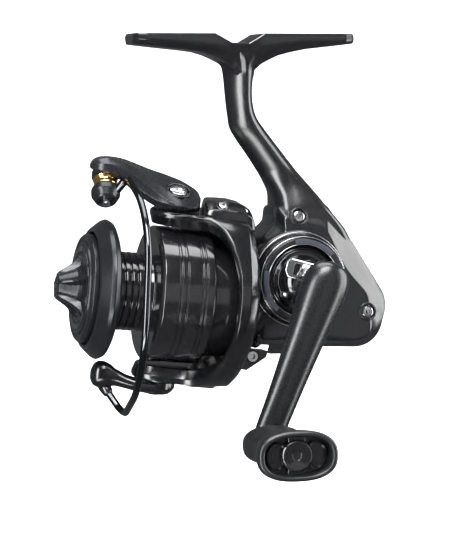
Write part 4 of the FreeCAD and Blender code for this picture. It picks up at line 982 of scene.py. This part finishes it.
def make_spool():
    skirt = [(11.5, 16.7, 0.2), (11.5, 17.5, 0.3), (12.1, 17.8, 0.3), (13.9, 17.8, 0.1), (14.0, 17.45, 0.1),
             (14.35, 17.45, 0.1),
             (14.45, 17.75, 0.1), (14.95, 17.75, 0.1), (15.05, 17.4, 0.1), (15.4, 17.4, 0.1),
             (15.5, 17.8, 0.1),
             (18.9, 17.8, 0.1), (19.05, 17.35, 0.1), (19.5, 17.35, 0.1), (19.65, 17.7, 0.1),
             (20.5, 17.7, 0.1),
             (20.65, 17.35, 0.1), (21.1, 17.35, 0.1), (21.3, 17.8, 0.2), (25.2, 17.8, 0.4),
             (25.9, 17.2, 0.3),
             (26.2, 16.2, 0.3), (26.2, 10.4, 0.3)]
    arbor = []
    for i in range(5):
        low = 27.3 + 1.72 * i
        arbor += [(low, 10.3, 0.15), (low + 1.2, 10.3, 0.35), (low + 1.32, 9.75, 0.1),
                  (low + 1.6, 9.75, 0.1)]
    rear = [(36.4, 9.9, 0.2), (36.4, 14.9), (38.2, 14.9), (38.2, 8.6), (32.0, 8.6), (32.0, 1.66),
            (20.0, 1.66), (20.0, 6.0, 0.3),
            (23.2, 6.0, 0.3), (23.2, 16.5, 0.3)]
    lathe("spool_body", skirt + arbor + rear, SHAFT, "spool", "spool_gloss", 0.0, segments=192)
    lathe("spool_rim", [(36.4, 10.2), (36.4, 16.4, 0.3), (37.0, 17.7, 0.5), (38.3, 18.35, 0.5),
                        (39.3, 17.9, 0.3),
                        (41.6, 15.9, 0.3), (41.95, 15.2, 0.2), (41.6, 14.75, 0.2), (39.3, 14.6),
                        (38.3, 14.6), (38.3, 10.2)],
          SHAFT, "spool", "lip_metal", 0.0, segments=192)


RIB_DROP = 2.6


def make_drag_knob():
    knob = [(39.8, 0), (39.8, 13.4), (41.8, 14.2, 0.2), (42.9, 14.3, 0.3), (43.6, 13.7, 0.3),
            (43.7, 12.9, 0.15),
            (43.35, 12.7, 0.1), (43.3, 12.2, 0.1), (43.9, 11.95, 0.15), (43.95, 11.3), (43.75, 11.1),
            (44.0, 10.9),
            (44.05, 9.5), (43.8, 9.25), (44.05, 9.0), (44.1, 7.8), (43.85, 7.55), (44.1, 7.3),
            (44.2, 5.9, 0.2),
            (45.2, 5.1, 0.6), (48.6, 3.6, 1.0), (49.85, 3.1, 0.3), (50.05, 2.6, 0.2), (50.1, 0)]
    lathe("knob_dial", knob, SHAFT, "drag", "spool_gloss", 0.0, wrap=False, segments=192,
          look=LOOKS["lip_metal"])
    ribs = [(1.0, 50.12, 0.5), (3.2, 50.08, 0.55), (3.9, 49.5, 0.6), (4.7, 48.3, 0.65), (5.6, 46.9, 0.7),
            (6.6, 45.8, 0.8),
            (7.6, 45.0, 0.9), (8.4, 44.5, 1.0), (8.9, 44.2, 0.9)]
    for i in range(5):
        turn = Matrix.Rotation(math.radians(78 + 72 * i), 4, "X")
        rings = []
        for out in steps_between(ribs[0][0], ribs[-1][0], 32):
            crest, half = interpolate(ribs, out)
            rings.append([(crest - RIB_DROP * (1 - b), a, out) for a, b in
                          [(-half - 0.6, 0.0), (-half - 0.25, 0.4), (-half, 0.75), (-half * 0.8, 0.93),
                           (-half * 0.4, 1.0),
                           (half * 0.4, 1.0), (half * 0.8, 0.93), (half, 0.75), (half + 0.25, 0.4),
                           (half + 0.6, 0.0)]])
        skin("knob_rib_%d" % i, rings, SHAFT @ turn, "drag", "spool_gloss", smooth=40,
             look=LOOKS["lip_metal"])
        bm = bmesh.new()
        arc = [math.radians(78 + 36 + 72 * i + a) for a in steps_between(-23, 23, 16)]
        outline = rounded([(10.9 * math.cos(a), 10.9 * math.sin(a)) for a in arc]
                          + [(9.5 * math.cos(a), 9.5 * math.sin(a)) for a in reversed(arc)])
        slab(bm, outline, 43.0, 44.14, "yz")
        piece("knob_slot_%d" % i, bm, SHAFT, "drag", "spool_gloss", bevel=0.12)


# ------------------------------------------------------------------ build

make_stem()
make_foot()
make_body()
make_body_details()
make_hub()
make_fold_block()
make_handle()
make_knob()
make_rotor()
make_arm_covers()
make_bail_arm()
make_roller()
make_wire()
make_bail_cam()
make_spool()
make_drag_knob()

REPLACED = {
    "stem": ["body_housing"], "body_cover": ["side_cover"], "cover_screw_0": ["cover_screws"],
    "hub_flange": ["handle_hub"], "hinge_block": ["fold_block"], "crank_arm": ["handle_arm"],
    "knob_body": ["handle_knob"], "knob_web": ["knob_insert"], "bell": ["rotor"],
    "upper_cover": ["arm_cover_upper"],
    "lower_cover": ["arm_cover_lower"], "cover_bolt_upper": ["arm_cover_screws"],
    "bail_lever": ["bail_arm"],
    "bail_pivot_screw": ["bail_arm_screw"], "roller_ring": ["line_roller"], "roller_cone": ["wire_cone"],
    "wire": ["bail_wire"], "wire_bulb": ["bail_cam"], "cam_screw": ["bail_cam_screw"],
    "spool_body": ["spool"],
    "spool_rim": ["spool_lip"], "knob_dial": ["drag_knob"], "boss_inlay_0": ["boss_ring"],
}
for made_name, node_names in REPLACED.items():
    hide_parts(*node_names)


# ------------------------------------------------------------------ stage, lights and camera

STAGE_HALF, STAGE_GAP = 6.0, 0.03  # metres


def make_stage():
    size, drop = STAGE_HALF, cad_low.z - STAGE_GAP
    bm = bmesh.new()
    rows = [(-size, 0), (1.2, 0), (1.7, 0.12), (2.1, 0.5), (2.3, 1.1), (2.3, size)]
    rings = [[bm.verts.new((x, -y, drop + z)) for x in (-size, size)] for y, z in rows]
    bridge(bm, rings, closed_rings=False)
    mesh = bpy.data.meshes.new("floor")
    bm.to_mesh(mesh)
    bm.free()
    for polygon in mesh.polygons:
        polygon.use_smooth = True
    floor = bpy.data.objects.new("floor", mesh)
    bpy.context.scene.collection.objects.link(floor)
    mesh.materials.append(make_material("floor_paint", (0.86, 0.86, 0.87), 0.75, grain=2.0, bump=0.02,
                                        mottle=0.01))
    floor.visible_glossy = False


def add_area(name, position, target, width, height, power, glossy=True):
    light = bpy.data.lights.new(name, "AREA")
    light.shape = "RECTANGLE"
    light.size, light.size_y = width, height
    light.energy = power
    item = bpy.data.objects.new(name, light)
    bpy.context.scene.collection.objects.link(item)
    item.visible_glossy = glossy
    item.location = position
    item.rotation_euler = (Vector(position) - Vector(target)).to_track_quat("Z", "Y").to_euler()


LIGHTS = [
    # name, offset from the part's middle in metres, width, height, power in watts
    ("key", (0.10, 0.42, 0.50), 0.40, 0.30, 9.0),
    ("left_strip", (0.54, 0.42, 0.05), 0.22, 0.7, 8.5),
    ("right_strip", (-0.60, 0.30, 0.02), 0.14, 0.7, 3.5),
    ("rear_strip", (-0.62, 0.06, 0.10), 0.30, 0.6, 4.5),
    ("low_strip", (0.32, 0.45, -0.36), 0.5, 0.12, 3.0),
    ("front_fill", (-0.22, 0.72, 0.06), 0.40, 0.40, 0.3),
    ("top", (0.0, -0.05, 0.7), 0.7, 0.5, 9.0),
]
WORLD_STRENGTH = 0.16


def make_lights():
    world = bpy.data.worlds.new("studio")
    world.use_nodes = True
    background = world.node_tree.nodes["Background"]
    background.inputs["Color"].default_value = (0.93, 0.94, 0.96, 1)
    background.inputs["Strength"].default_value = WORLD_STRENGTH
    bpy.context.scene.world = world
    middle = (cad_low + cad_high) / 2
    for name, offset, width, height, power in LIGHTS:
        add_area(name, middle + Vector(offset), middle, width, height, power)
    wall = middle + Vector((0, -2.3, 0.3))
    for side in (-1, 1):
        add_area("wall_%d" % side, middle + Vector((1.3 * side, -0.7, 0.5)), wall, 1.2, 1.2, 42.0, False)
    add_area("floor_wash", middle + Vector((0, -0.9, 1.2)), middle + Vector((0, -1.0, -0.2)), 1.6, 1.0,
             20.0, False)


LENS_MM = 159.46
CAMERA_AT = (177.16, 614.73, -16.96)  # millimetres, from the least-squares fit to the photograph
CAMERA_AZIMUTH, CAMERA_ELEVATION, CAMERA_ROLL = 164.29, 4.13, -0.16


def make_camera():
    data = bpy.data.cameras.new("camera")
    data.sensor_width = 36.0
    data.lens = LENS_MM
    data.clip_start, data.clip_end = 0.05, 20.0
    camera = bpy.data.objects.new("camera", data)
    bpy.context.scene.collection.objects.link(camera)
    azimuth, elevation, roll = (math.radians(a) for a in (CAMERA_AZIMUTH, CAMERA_ELEVATION, CAMERA_ROLL))
    back = Vector((math.sin(azimuth) * math.cos(elevation), -math.cos(azimuth) * math.cos(elevation),
                   math.sin(elevation)))
    right = Vector(UP).cross(back).normalized()
    up = back.cross(right)
    turned_right = math.cos(roll) * right + math.sin(roll) * up
    turned_up = math.cos(roll) * up - math.sin(roll) * right
    matrix = Matrix((turned_right, turned_up, back)).transposed().to_4x4()
    matrix.translation = Vector(CAMERA_AT) * MM
    camera.matrix_world = matrix
    bpy.context.scene.camera = camera


make_stage()
make_lights()
make_camera()
bpy.context.scene.view_settings.view_transform = "Standard"
